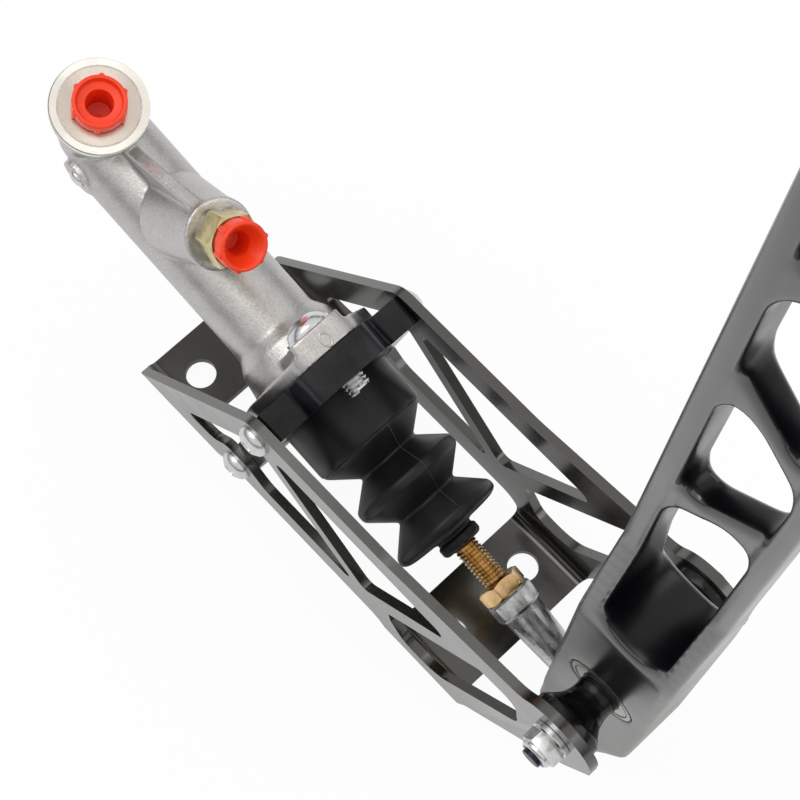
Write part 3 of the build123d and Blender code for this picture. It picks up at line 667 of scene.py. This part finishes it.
def voxelled(node, place, voxel):
    """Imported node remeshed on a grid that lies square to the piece, so that long edges stay straight."""
    mesh = merged_copy(node, flat_faces=False)
    turn = place.to_3x3().to_4x4()
    mesh.transform(turn.inverted())
    mesh = with_modifiers(mesh, [("REMESH", {
        "mode": "VOXEL", "voxel_size": voxel, "use_smooth_shade": True})])
    mesh.transform(turn)
    return mesh


# Geometry Nodes trees

def new_tree(name, inputs):
    """Geometry Nodes tree with a geometry input, named inputs and one output; also gives its inputs."""
    tree = bpy.data.node_groups.new(name, "GeometryNodeTree")
    tree.interface.new_socket("Geometry", in_out="INPUT", socket_type="NodeSocketGeometry")
    for label, kind in inputs:
        tree.interface.new_socket(label, in_out="INPUT", socket_type=kind)
    tree.interface.new_socket("Geometry", in_out="OUTPUT", socket_type="NodeSocketGeometry")
    return tree, add(tree, "NodeGroupInput").outputs


def end_tree(tree, geometry):
    """Realize, give the material and lead to the output."""
    given = next(n for n in tree.nodes if n.bl_idname == "NodeGroupInput").outputs
    real = add(tree, "GeometryNodeRealizeInstances", {"Geometry": geometry})
    painted = add(tree, "GeometryNodeSetMaterial", {
        "Geometry": real.outputs[0], "Material": given["Material"]})
    add(tree, "NodeGroupOutput", {0: painted.outputs[0]})
    return tree


def grown(tree, values, mesh=None):
    """Plain mesh made by a tree, its inputs set by name."""
    holder = bpy.data.objects.new("working", mesh or bpy.data.meshes.new("seed"))
    bpy.context.scene.collection.objects.link(holder)
    modifier = holder.modifiers.new("grow", "NODES")
    modifier.node_group = tree
    for item in tree.interface.items_tree:
        if item.in_out == "INPUT" and item.name in values:
            modifier[item.identifier] = values[item.name]
    evaluated = holder.evaluated_get(bpy.context.evaluated_depsgraph_get())
    result = bpy.data.meshes.new_from_object(evaluated)
    bpy.data.objects.remove(holder)
    return result


def thread_tree():
    """Screw thread on Z: a ridge that climbs round a core."""
    tree, given = new_tree("screw_thread", [
        ("Radius", "NodeSocketFloat"), ("Pitch", "NodeSocketFloat"), ("Length", "NodeSocketFloat"),
        ("Material", "NodeSocketMaterial")])
    half = add(tree, "ShaderNodeMath", {0: given["Pitch"], 1: 0.46}, operation="MULTIPLY").outputs[0]
    middle = add(tree, "ShaderNodeMath", {0: given["Radius"], 1: half}, operation="SUBTRACT").outputs[0]
    turns = add(tree, "ShaderNodeMath", {0: given["Length"], 1: given["Pitch"]}, operation="DIVIDE")
    helix = add(tree, "GeometryNodeCurveSpiral", {
        "Resolution": 28, "Rotations": turns.outputs[0], "Start Radius": middle, "End Radius": middle,
        "Height": given["Length"]})
    level = add(tree, "GeometryNodeSetCurveNormal", {"Curve": helix.outputs[0]}, mode="Z_UP")
    ridge = add(tree, "GeometryNodeCurvePrimitiveCircle", {"Resolution": 4, "Radius": half}, mode="RADIUS")
    wound = add(tree, "GeometryNodeCurveToMesh", {
        "Curve": level.outputs[0], "Profile Curve": ridge.outputs[0], "Fill Caps": True})
    core = add(tree, "GeometryNodeMeshCylinder", {"Vertices": 40, "Radius": middle, "Depth": given["Length"]})
    rise = add(tree, "ShaderNodeMath", {0: given["Length"], 1: 0.5}, operation="MULTIPLY")
    up = add(tree, "ShaderNodeCombineXYZ", {"Z": rise.outputs[0]})
    moved = add(tree, "GeometryNodeTransform", {"Geometry": core.outputs[0], "Translation": up.outputs[0]})
    both = add(tree, "GeometryNodeJoinGeometry", {0: moved.outputs[0]})
    tree.links.new(wound.outputs[0], both.inputs[0])
    return end_tree(tree, both.outputs[0])


def rib_tree():
    """Rings strung along the edge line that it is given, each as wide as the line is far from Z."""
    tree, given = new_tree("grip_ribs", [
        ("Count", "NodeSocketInt"), ("Rib", "NodeSocketFloat"), ("Material", "NodeSocketMaterial")])
    line = add(tree, "GeometryNodeMeshToCurve", {0: given["Geometry"]})
    stops = add(tree, "GeometryNodeResampleCurve", {"Curve": line.outputs[0], "Count": given["Count"]})
    # Each stop remembers how far it is from Z and then moves onto Z
    where = add(tree, "GeometryNodeInputPosition")
    parts = add(tree, "ShaderNodeSeparateXYZ", {0: where.outputs[0]})
    size = add(tree, "ShaderNodeCombineXYZ", {"X": parts.outputs["X"], "Y": parts.outputs["X"], "Z": 1.0})
    held = add(tree, "GeometryNodeStoreNamedAttribute", {
        "Geometry": stops.outputs[0], "Name": "reach", "Value": size.outputs[0]},
        data_type="FLOAT_VECTOR", domain="POINT")
    back = add(tree, "ShaderNodeMath", {0: parts.outputs["X"], 1: -1.0}, operation="MULTIPLY")
    inwards = add(tree, "ShaderNodeCombineXYZ", {"X": back.outputs[0]})
    centred = add(tree, "GeometryNodeSetPosition", {
        "Geometry": held.outputs[0], "Offset": inwards.outputs[0]})
    # A circle of that radius stands on each stop
    reach = add(tree, "GeometryNodeInputNamedAttribute", {"Name": "reach"}, data_type="FLOAT_VECTOR")
    circle = add(tree, "GeometryNodeCurvePrimitiveCircle", {"Resolution": 72, "Radius": 1.0}, mode="RADIUS")
    strung = add(tree, "GeometryNodeInstanceOnPoints", {
        "Points": centred.outputs[0], "Instance": circle.outputs[0], "Scale": reach.outputs["Attribute"]})
    real = add(tree, "GeometryNodeRealizeInstances", {"Geometry": strung.outputs[0]})
    section = add(tree, "GeometryNodeCurvePrimitiveCircle", {"Resolution": 10, "Radius": given["Rib"]},
                  mode="RADIUS")
    rib = add(tree, "GeometryNodeCurveToMesh", {
        "Curve": real.outputs[0], "Profile Curve": section.outputs[0]})
    return end_tree(tree, rib.outputs[0])


def nub_tree():
    """Round nubs standing in a ring about Z."""
    tree, given = new_tree("cap_nubs", [
        ("Count", "NodeSocketInt"), ("Ring", "NodeSocketFloat"), ("Nub", "NodeSocketFloat"),
        ("Height", "NodeSocketFloat"), ("Material", "NodeSocketMaterial")])
    places = add(tree, "GeometryNodeMeshCircle", {"Vertices": given["Count"], "Radius": given["Ring"]})
    post = add(tree, "GeometryNodeMeshCylinder", {
        "Vertices": 20, "Radius": given["Nub"], "Depth": given["Height"]})
    posts = add(tree, "GeometryNodeInstanceOnPoints", {
        "Points": places.outputs[0], "Instance": post.outputs[0]})
    return end_tree(tree, posts.outputs[0])


def shipping_cap(name, node, outline, ring, place):
    """Dust cap: its turned body and the ring of nubs that fingers pull on."""
    material = cap_polyethylene()
    tree = bpy.data.node_groups.get("cap_nubs") or nub_tree()
    height = CAP_T - 1.1
    corner = 0.35
    nubs = grown(tree, {
        "Count": sizes().cap_nubs, "Ring": ring * MM, "Nub": NUB_R * MM, "Height": height * MM,
        "Material": material})
    nubs = with_modifiers(nubs, [("BEVEL", {"width": 0.3 * MM, "segments": 3, "limit_method": "ANGLE"})])
    spin = Matrix.Rotation(radians(NUB_TURN), 4, "X") @ Z_TO_X
    lift = Matrix.Translation((corner + height / 2, 0, 0))
    nubs.transform(Matrix.Scale(MM, 4) @ place @ lift @ spin @ Matrix.Scale(1 / MM, 4))
    body = turned(softened(outline, corner), place)
    return finished(name, joined([body, nubs]), "frame", material, [node])


def thread(radius, pitch, length, material, place):
    """Thread of length mm whose low end is at place's origin and which runs along its X."""
    tree = bpy.data.node_groups.get("screw_thread") or thread_tree()
    mesh = grown(tree, {"Radius": radius * MM, "Pitch": pitch, "Length": length * MM, "Material": material})
    mesh.transform(Matrix.Translation(place.translation * MM) @ place.to_3x3().to_4x4() @ Z_TO_X)
    return mesh


def shorten(piece):
    """Give a piece that lies from low to high on the cylinder's axis its own mesh; nothing is shortened here.
    """
    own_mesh(piece)


def boot_drop(x):
    """Drop of the boot's middle where it leaves the cylinder's axis for the rod's."""
    start, run = 45.0, 10.0
    share = min(1.0, max(0.0, (x - start) / run))
    return -sin(ROD_TILT) * (x - BALL_A) * share * share * (3 - 2 * share)


def mould_flash(outline, low, high):
    """Thin ridge of the mould's parting line along the boot's top and bottom."""
    # It stands a little to one side of the middle, and its foot is sunk into the rubber
    middle_y, half, rise, sunk = 2.6, 0.3, 0.02, 0.55
    shape = bmesh.new()
    run = [(x, r) for x, r in outline if low <= x <= high]
    for side in (1, -1):
        rows = []
        for x, r in run:
            section = ((-half, r - sunk), (0, r + rise), (half, r - sunk))
            rows.append([shape.verts.new((x, middle_y + w, side * z + boot_drop(x))) for w, z in section])
        for here, after in zip(rows, rows[1:]):
            for index in (0, 1):
                shape.faces.new((here[index], here[index + 1], after[index + 1], after[index]))
            shape.faces.new((here[2], here[0], after[0], after[2]))
        shape.faces.new(rows[0])
        shape.faces.new(rows[-1])
    bmesh.ops.recalc_face_normals(shape, faces=shape.faces)
    mesh = bpy.data.meshes.new("flash")
    shape.to_mesh(mesh)
    shape.free()
    mesh.transform(Matrix.Scale(MM, 4) @ CYLINDER)
    return mesh


# Operators

class HANDBRAKE_OT_casting(bpy.types.Operator):
    """Master cylinder casting with rounded corners, its faced outlet and the side plug"""
    bl_idname = "handbrake.casting"
    bl_label = "Cylinder casting"

    def execute(self, context):
        mesh = with_modifiers(voxelled("cylinder_body", CYLINDER, sizes().cast_voxel), [
            ("SMOOTH", {"factor": 0.5, "iterations": sizes().cast_rounds}),
            ("DECIMATE", {"ratio": sizes().cast_share})])
        finished("cylinder_casting", mesh, "frame", cast_aluminium(), ["cylinder_body"], sharp=80)
        # A fine groove parts the faced ring from the seat
        groove = [(-1.2, 5.4), (0.02, 5.4), (0.02, 11.75), (-0.28, 11.85), (-0.28, 12.15), (0.02, 12.25),
                  (0.02, 14.2), (-0.35, 14.55), (-1.2, 14.6)]
        face = turned(groove, OUTLET, segments=128)
        finished("outlet_face", face, "frame", turned_aluminium(), sharp=20)
        # Raised oval line on top of the casting
        line_r, mark_r, stretch = 0.24, 1.5, 1.5
        wire = [(0.08 + line_r * cos(t * pi / 4), mark_r + line_r * sin(t * pi / 4)) for t in range(8)]
        oval = turned(wire, CASTING_MARK @ Matrix.Diagonal((1, 1, stretch, 1)), segments=48)
        finished("casting_oval", oval, "frame", cast_aluminium(), sharp=80)
        outwards = Matrix.Rotation(radians(-90), 4, "Z")
        side = CYLINDER @ Matrix.Translation((SIDE_PORT_A, SIDE_BOSS_Y, 0)) @ outwards
        rim = softened([(-1.6, 3.02), (0.04, 3.02), (0.04, 5.2), (-0.25, 5.7), (-1.6, 5.9)], 0.3)
        rim = turned(rim, side, segments=64)
        finished("side_boss_face", rim, "frame", cast_aluminium(), sharp=50)
        dome = [(-2.6, 0), (-2.6, 2.95), (0.1, 2.95), (0.7, 2.6), (1.15, 1.7), (1.3, 0)]
        dome = turned(dome, side, segments=64)
        finished("side_plug_domed", dome, "frame", bright_zinc(), ["side_plug"], sharp=50)
        return {"FINISHED"}


class HANDBRAKE_OT_ports(bpy.types.Operator):
    """Red caps, yellow adapter and its washer"""
    bl_idname = "handbrake.ports"
    bl_label = "Port caps and adapter"

    def execute(self, context):
        top = CAP_T
        rim = OUTLET_CAP_R
        shipping_cap("outlet_cap_dished", "outlet_cap", [
            (-9.0, 0), (-9.0, 4.5), (-7.0, 5.3), (0, 5.3), (0, rim - 0.5), (0.5, rim), (top - 0.5, rim),
            (top, rim - 0.4), (top, rim - 1.2), (top - 2.1, rim - 1.6), (top - 2.3, 4.1), (-8.2, 3.7),
            (-8.2, 0)], rim - 0.2, OUTLET)
        rim = INLET_CAP_R
        shipping_cap("inlet_cap_coned", "inlet_cap", [
            (-8.0, 0), (-8.0, 3.2), (-6.0, 3.95), (0, 3.95), (0, rim - 0.4), (0.5, rim), (top - 0.4, rim),
            (top, rim - 0.3), (top, rim - 1.0), (top - 0.5, rim - 1.4), (0.6, 3.45), (-6.4, 3.2),
            (-6.4, 0)], rim - 0.2, INLET @ Matrix.Translation((INLET_CAP_LOW, 0, 0)))
        edged("inlet_adapter", "frame", pale_zinc(), edge=0.25)
        edged("inlet_washer", "frame", bright_zinc(), edge=0.1)
        return {"FINISHED"}


class HANDBRAKE_OT_bracket(bpy.types.Operator):
    """Bent sheet bracket with broken edges"""
    bl_idname = "handbrake.bracket"
    bl_label = "Sheet bracket"

    def execute(self, context):
        edged("bracket", "frame", coated_steel(), edge=sizes().sheet_edge / MM)
        return {"FINISHED"}


class HANDBRAKE_OT_mount_plate(bpy.types.Operator):
    """Mount plate with its wall screws and the cylinder's screws"""
    bl_idname = "handbrake.mount_plate"
    bl_label = "Mount plate and screws"

    def execute(self, context):
        edged("mount_plate", "frame", anodised_plate(), edge=0.4)
        edged("mount_plate_screws", "frame", bright_zinc())
        # The screws end inside the plate, and cut threads take over there
        heads = trimmed(merged_copy("cylinder_bolts"), CYLINDER @ Vector((STUB_A, 0, 0)), ALONG)
        finished("cylinder_bolt_heads", bevelled(heads, edge=0.2), "frame", painted_zinc(),
                 ["cylinder_bolts"], sharp=20)
        ends = [thread(M8_R, sizes().rod_pitch, STUB_L, bright_zinc(),
                       CYLINDER @ Matrix.Translation((STUB_A, 0, h))) for h in (-BOLT_H, BOLT_H)]
        finished("cylinder_bolt_threads", joined(ends), "frame", bright_zinc())
        return {"FINISHED"}


class HANDBRAKE_OT_boot(bpy.types.Operator):
    """Rubber boot: a collar on the cylinder's nose and the folds that follow the push rod"""
    bl_idname = "handbrake.boot"
    bl_label = "Rubber boot"

    def execute(self, context):
        split = BOOT_SPLIT_A
        outer = [
            (split, 18.75), (19.6, 17.7), (26.0, 10.0), (33.0, 18.4), (36.0, 18.4), (43.0, 10.4),
            (50.9, 18.3), (53.4, 18.5), (54.6, 16.4), (BOOT_END_A, 9.0), (BOOT_END_A + 0.7, 6.3),
            (LIP_END_A - 3.8, 6.2), (LIP_END_A - 3.2, 7.0), (LIP_END_A - 0.9, 7.0),
        ]
        inner = [
            (LIP_END_A, 6.2), (LIP_END_A, 4.6), (BOOT_END_A - 1.6, 4.7), (53.2, 12.0), (52.4, 16.2),
            (51.4, 16.1), (43.0, 8.7), (35.2, 16.4), (33.8, 16.4), (26.0, 8.3), (split, 16.4),
        ]
        folds = softened(outer + inner, sizes().boot_round / MM, crisp_from=BOOT_END_A + 0.1, crisp=0.35)
        outside = folds[:len(outer) * (CORNER_STEPS + 1)]
        body = turned(folds, CYLINDER, segments=128, bend=boot_drop)
        ridge = mould_flash([p for p in outside if p[0] < BOOT_END_A], split, BOOT_END_A - 1.5)
        folded = finished("boot_folds", joined([body, ridge]), "frame", moulded_rubber(), ["boot"],
                          sharp=60)
        collar = softened([
            (1.1, BOOT_SEAT_R), (1.1, COLLAR_R - 0.3), (1.5, COLLAR_R), (split - 1.2, COLLAR_R + 0.05),
            (split, COLLAR_R - 0.25), (split, 16.4), (17.2, BOOT_SEAT_R)], 0.5)
        seam = mould_flash([(1.6, COLLAR_R), (split - 1.4, COLLAR_R + 0.05)], 0, split)
        ring = turned(collar, CYLINDER, segments=128)
        finished("boot_collar", joined([ring, seam]), "frame", moulded_rubber(), sharp=60)
        shorten(folded)
        return {"FINISHED"}


class HANDBRAKE_OT_push_rod(bpy.types.Operator):
    """Threaded push rod, lock nut and rod end with its ball and bolt"""
    bl_idname = "handbrake.push_rod"
    bl_label = "Push rod and rod end"

    def execute(self, context):
        end = BALL_A + STEM_L
        screw_low = end + 0.6
        stem = turned([(BALL_A, 0), (BALL_A, STEM_R), (end, STEM_R), (screw_low, STEM_R + 0.3), (end + 1, 0)],
                      PUSH, segments=48)
        ball = turned([(BALL_A - BALL_R * cos(t * pi / 16), BALL_R * sin(t * pi / 16)) for t in range(17)],
                      PUSH, segments=48)
        screw = thread(M8_R, sizes().rod_pitch, PIN_REACH - ROD_END_L - screw_low, gold_zinc(),
                       PUSH @ Matrix.Translation((screw_low, 0, 0)))
        finished("pushrod_threaded", joined([stem, ball, screw]), "push_link", gold_zinc(),
                 ["pushrod"])
        edged("jam_nut", "push_link", gold_zinc(), edge=0.3)
        edged("rod_end_body", "push_link", forged_zinc(), edge=0.4, segments=3)
        edged("rod_end_race", "push_link", sintered_bronze())
        edged("rod_end_nut", "lever", bright_zinc(), edge=0.3)
        edged("rod_end_bolt", "lever", bright_zinc())
        kept("rod_end_ball", ground_steel())
        kept("rod_end_spacers", bright_zinc())
        return {"FINISHED"}


class HANDBRAKE_OT_lever(bpy.types.Operator):
    """Milled lever and the bearings in its hub"""
    bl_idname = "handbrake.lever"
    bl_label = "Lever and bearings"

    def execute(self, context):
        fine = voxelled("lever", LEVER, sizes().lever_voxel)
        back = LEVER.inverted()
        # The window beam and the fork's foot are smoothed most, and the hub between them stays crisp
        weights = {}
        for point in fine.vertices:
            s, _, z = back @ (point.co / MM)
            beam = min((s - POCKET_LOW_S + 8) / 8, (POCKET_HIGH_S + 2 - s) / 5, (RAIL_HALF - abs(z)) / 1.6)
            foot = (FORK_S - s) / 10
            share = max(0.0, min(1.0, max(beam, foot)))
            if share:
                weights[point.index] = share
        mesh = with_modifiers(fine, [
            ("SMOOTH", {"factor": 0.5, "iterations": sizes().lever_rounds, "vertex_group": "soft"}),
            ("SMOOTH", {"factor": 0.5, "iterations": 3})], weights)
        finished("lever_milled", mesh, "lever", anodised_aluminium(), ["lever"], sharp=180)
        # The pockets' walls stand square to the lever's faces and take the cutter's finish, darkened there as
        # painted shade
        mesh.materials.append(pocket_shade_anodised())
        turn = back.to_3x3()
        for face in mesh.polygons:
            s, _, z = back @ (face.center / MM)
            inside = POCKET_LOW_S < s < POCKET_HIGH_S and abs(z) < POCKET_HALF
            if inside and abs((turn @ face.normal).y) < 0.35:
                face.material_index = 1
        shields = []
        gap_shades = []
        inner, outer = HUB_FACE_Y - 0.23, HUB_FACE_Y
        shield = softened([
            (12.15, 6.5), (12.42, 6.5), (12.46, 7.0), (12.46, 8.8), (12.42, 9.25), (12.15, 9.25)],
            0.1, steps=2)
        for side in (1, -1):
            place = Matrix.Translation(PIVOT) @ Matrix.Rotation(side * radians(90), 4, "Z")
            shields.append(turned(shield, place))
            # Thin black rings in the gaps around the shields and at the hub's lip are painted shade
            for low, high in ((6.2, 6.45), (9.3, 9.55), (10.95, 11.2)):
                gap_shades.append(turned([(inner, low), (outer, low), (outer, high), (inner, high)], place))
        edged("pivot_bearings", "lever", bearing_steel(), edge=0.12)
        finished("bearing_shields", joined(shields), "lever", bearing_steel())
        finished("bearing_gap_shades", joined(gap_shades), "lever", moulded_rubber())
        return {"FINISHED"}


class HANDBRAKE_OT_grip(bpy.types.Operator):
    """Ribbed hand grip with its end cap and screw"""
    bl_idname = "handbrake.grip"
    bl_label = "Hand grip"

    def execute(self, context):
        sleeve = edged("hand_grip", "lever", moulded_rubber(), edge=0.4, segments=3)
        sleeve.name = "hand_grip_sleeve"
        # The ribs follow the grip's waist: radius and height of four places up it
        waist = [(15.0, 11), (14.2, 30), (15.5, 60), (14.75, 86)]
        line = bpy.data.meshes.new("grip_line")
        line.from_pydata([(r * MM, 0, (GRIP_LOW_S + s) * MM) for r, s in waist], [(0, 1), (1, 2), (2, 3)], [])
        tree = bpy.data.node_groups.get("grip_ribs") or rib_tree()
        ribs = grown(tree, {
            "Count": sizes().grip_ribs, "Rib": sizes().grip_rib, "Material": moulded_rubber()}, line)
        ribs.transform(Matrix.Translation(PIVOT * MM) @ Matrix.Rotation(LEVER_LEAN, 4, "Y"))
        finished("hand_grip_ribs", ribs, "lever", moulded_rubber())
        edged("grip_cap", "lever", anodised_aluminium(), edge=0.4, segments=3)
        edged("grip_screw", "lever", bright_zinc())
        return {"FINISHED"}


class HANDBRAKE_OT_pivot(bpy.types.Operator):
    """Pivot bolt with its spacers, washers and locking nut"""
    bl_idname = "handbrake.pivot"
    bl_label = "Pivot bolt"

    def execute(self, context):
        edged("pivot_spacers", "frame", anodised_plate())
        edged("pivot_washers", "frame", bright_zinc(), edge=0.15)
        edged("pivot_bolt", "frame", oxide_steel())
        edged("pivot_nut", "frame", bright_zinc())
        kept("pivot_nut_insert", insert_nylon())
        kept("pivot_sleeve", ground_steel())
        return {"FINISHED"}


class HANDBRAKE_OT_inside(bpy.types.Operator):
    """Piston, seals, spring and rings inside the cylinder"""
    bl_idname = "handbrake.inside"
    bl_label = "Inside the cylinder"

    def execute(self, context):
        kept("piston", turned_aluminium())
        for node in ("primary_cup", "secondary_seal"):
            kept(node, moulded_rubber())
        for node in ("stop_washer", "circlip"):
            kept(node, ground_steel())
        coils = merged_copy("return_spring")
        coils = finished("return_spring_coils", coils, "frame", ground_steel(), ["return_spring"])
        shorten(coils)
        return {"FINISHED"}


class HANDBRAKE_OT_stage(bpy.types.Operator):
    """White floor, soft light and the camera"""
    bl_idname = "handbrake.stage"
    bl_label = "Studio"

    def execute(self, context):
        scene = context.scene
        half, z = 40.0, -0.0002
        floor = bpy.data.meshes.new("floor")
        corners = [(-half, -half, z), (half, -half, z), (half, half, z), (-half, half, z)]
        floor.from_pydata(corners, [], [(0, 1, 2, 3)])
        floor.materials.append(seamless_paper())
        plane = bpy.data.objects.new("floor", floor)
        scene.collection.objects.link(plane)
        scene.world = studio_world()
        # Name, place, what it points at, width and power
        lamps = [
            ("key", (-0.5, -0.35, 1.25), (-0.03, 0.0, 0.06), 0.9, 5.0),
            ("fill", (0.9, 0.6, 0.9), (0.05, 0.0, 0.1), 0.8, 2.5),
        ]
        for name, where, target, size, power in lamps:
            lamp = bpy.data.lights.new(name, "AREA")
            lamp.size = size
            lamp.energy = power
            holder = bpy.data.objects.new(name, lamp)
            holder.location = where
            holder.rotation_euler = (Vector(target) - Vector(where)).to_track_quat("-Z", "Y").to_euler()
            scene.collection.objects.link(holder)
        # The camera is fitted to the photograph: place in metres, turn in radians
        view = bpy.data.cameras.new("camera")
        view.sensor_width = 36.0
        view.lens = 93.786
        view.clip_start = 0.01
        view.clip_end = 50.0
        camera = bpy.data.objects.new("camera", view)
        camera.location = (0.150116, -0.125434, 0.637902)
        camera.rotation_euler = (0.331203, -0.002146, 0.815619)
        scene.collection.objects.link(camera)
        scene.camera = camera
        scene.view_settings.view_transform = "Standard"
        return {"FINISHED"}


class HANDBRAKE_PT_panel(bpy.types.Panel):
    """Buttons for each group of pieces"""
    bl_idname = "HANDBRAKE_PT_panel"
    bl_label = "Handbrake"
    bl_space_type = "VIEW_3D"
    bl_region_type = "UI"
    bl_category = "Handbrake"

    def draw(self, context):
        layout = self.layout
        for group in (context.scene.handbrake_sizes, context.scene.handbrake_colours):
            box = layout.box()
            for key in group.__annotations__:
                box.prop(group, key)
        for operator in OPERATORS:
            layout.operator(operator.bl_idname)


OPERATORS = (
    HANDBRAKE_OT_casting, HANDBRAKE_OT_ports, HANDBRAKE_OT_bracket, HANDBRAKE_OT_mount_plate,
    HANDBRAKE_OT_boot, HANDBRAKE_OT_push_rod, HANDBRAKE_OT_lever, HANDBRAKE_OT_grip, HANDBRAKE_OT_pivot,
    HANDBRAKE_OT_inside, HANDBRAKE_OT_stage,
)
CLASSES = (HandbrakeColours, HandbrakeSizes, *OPERATORS, HANDBRAKE_PT_panel)


def register():
    """Make the classes and the scene's values known."""
    for item in CLASSES:
        bpy.utils.register_class(item)
    bpy.types.Scene.handbrake_colours = PointerProperty(type=HandbrakeColours)
    bpy.types.Scene.handbrake_sizes = PointerProperty(type=HandbrakeSizes)


def unregister():
    """Take them back."""
    del bpy.types.Scene.handbrake_sizes
    del bpy.types.Scene.handbrake_colours
    for item in reversed(CLASSES):
        bpy.utils.unregister_class(item)


def main():
    """Build every piece in order."""
    register()
    for operator in OPERATORS:
        group, name = operator.bl_idname.split(".")
        getattr(getattr(bpy.ops, group), name)()


if __name__ == "__main__":
    main()
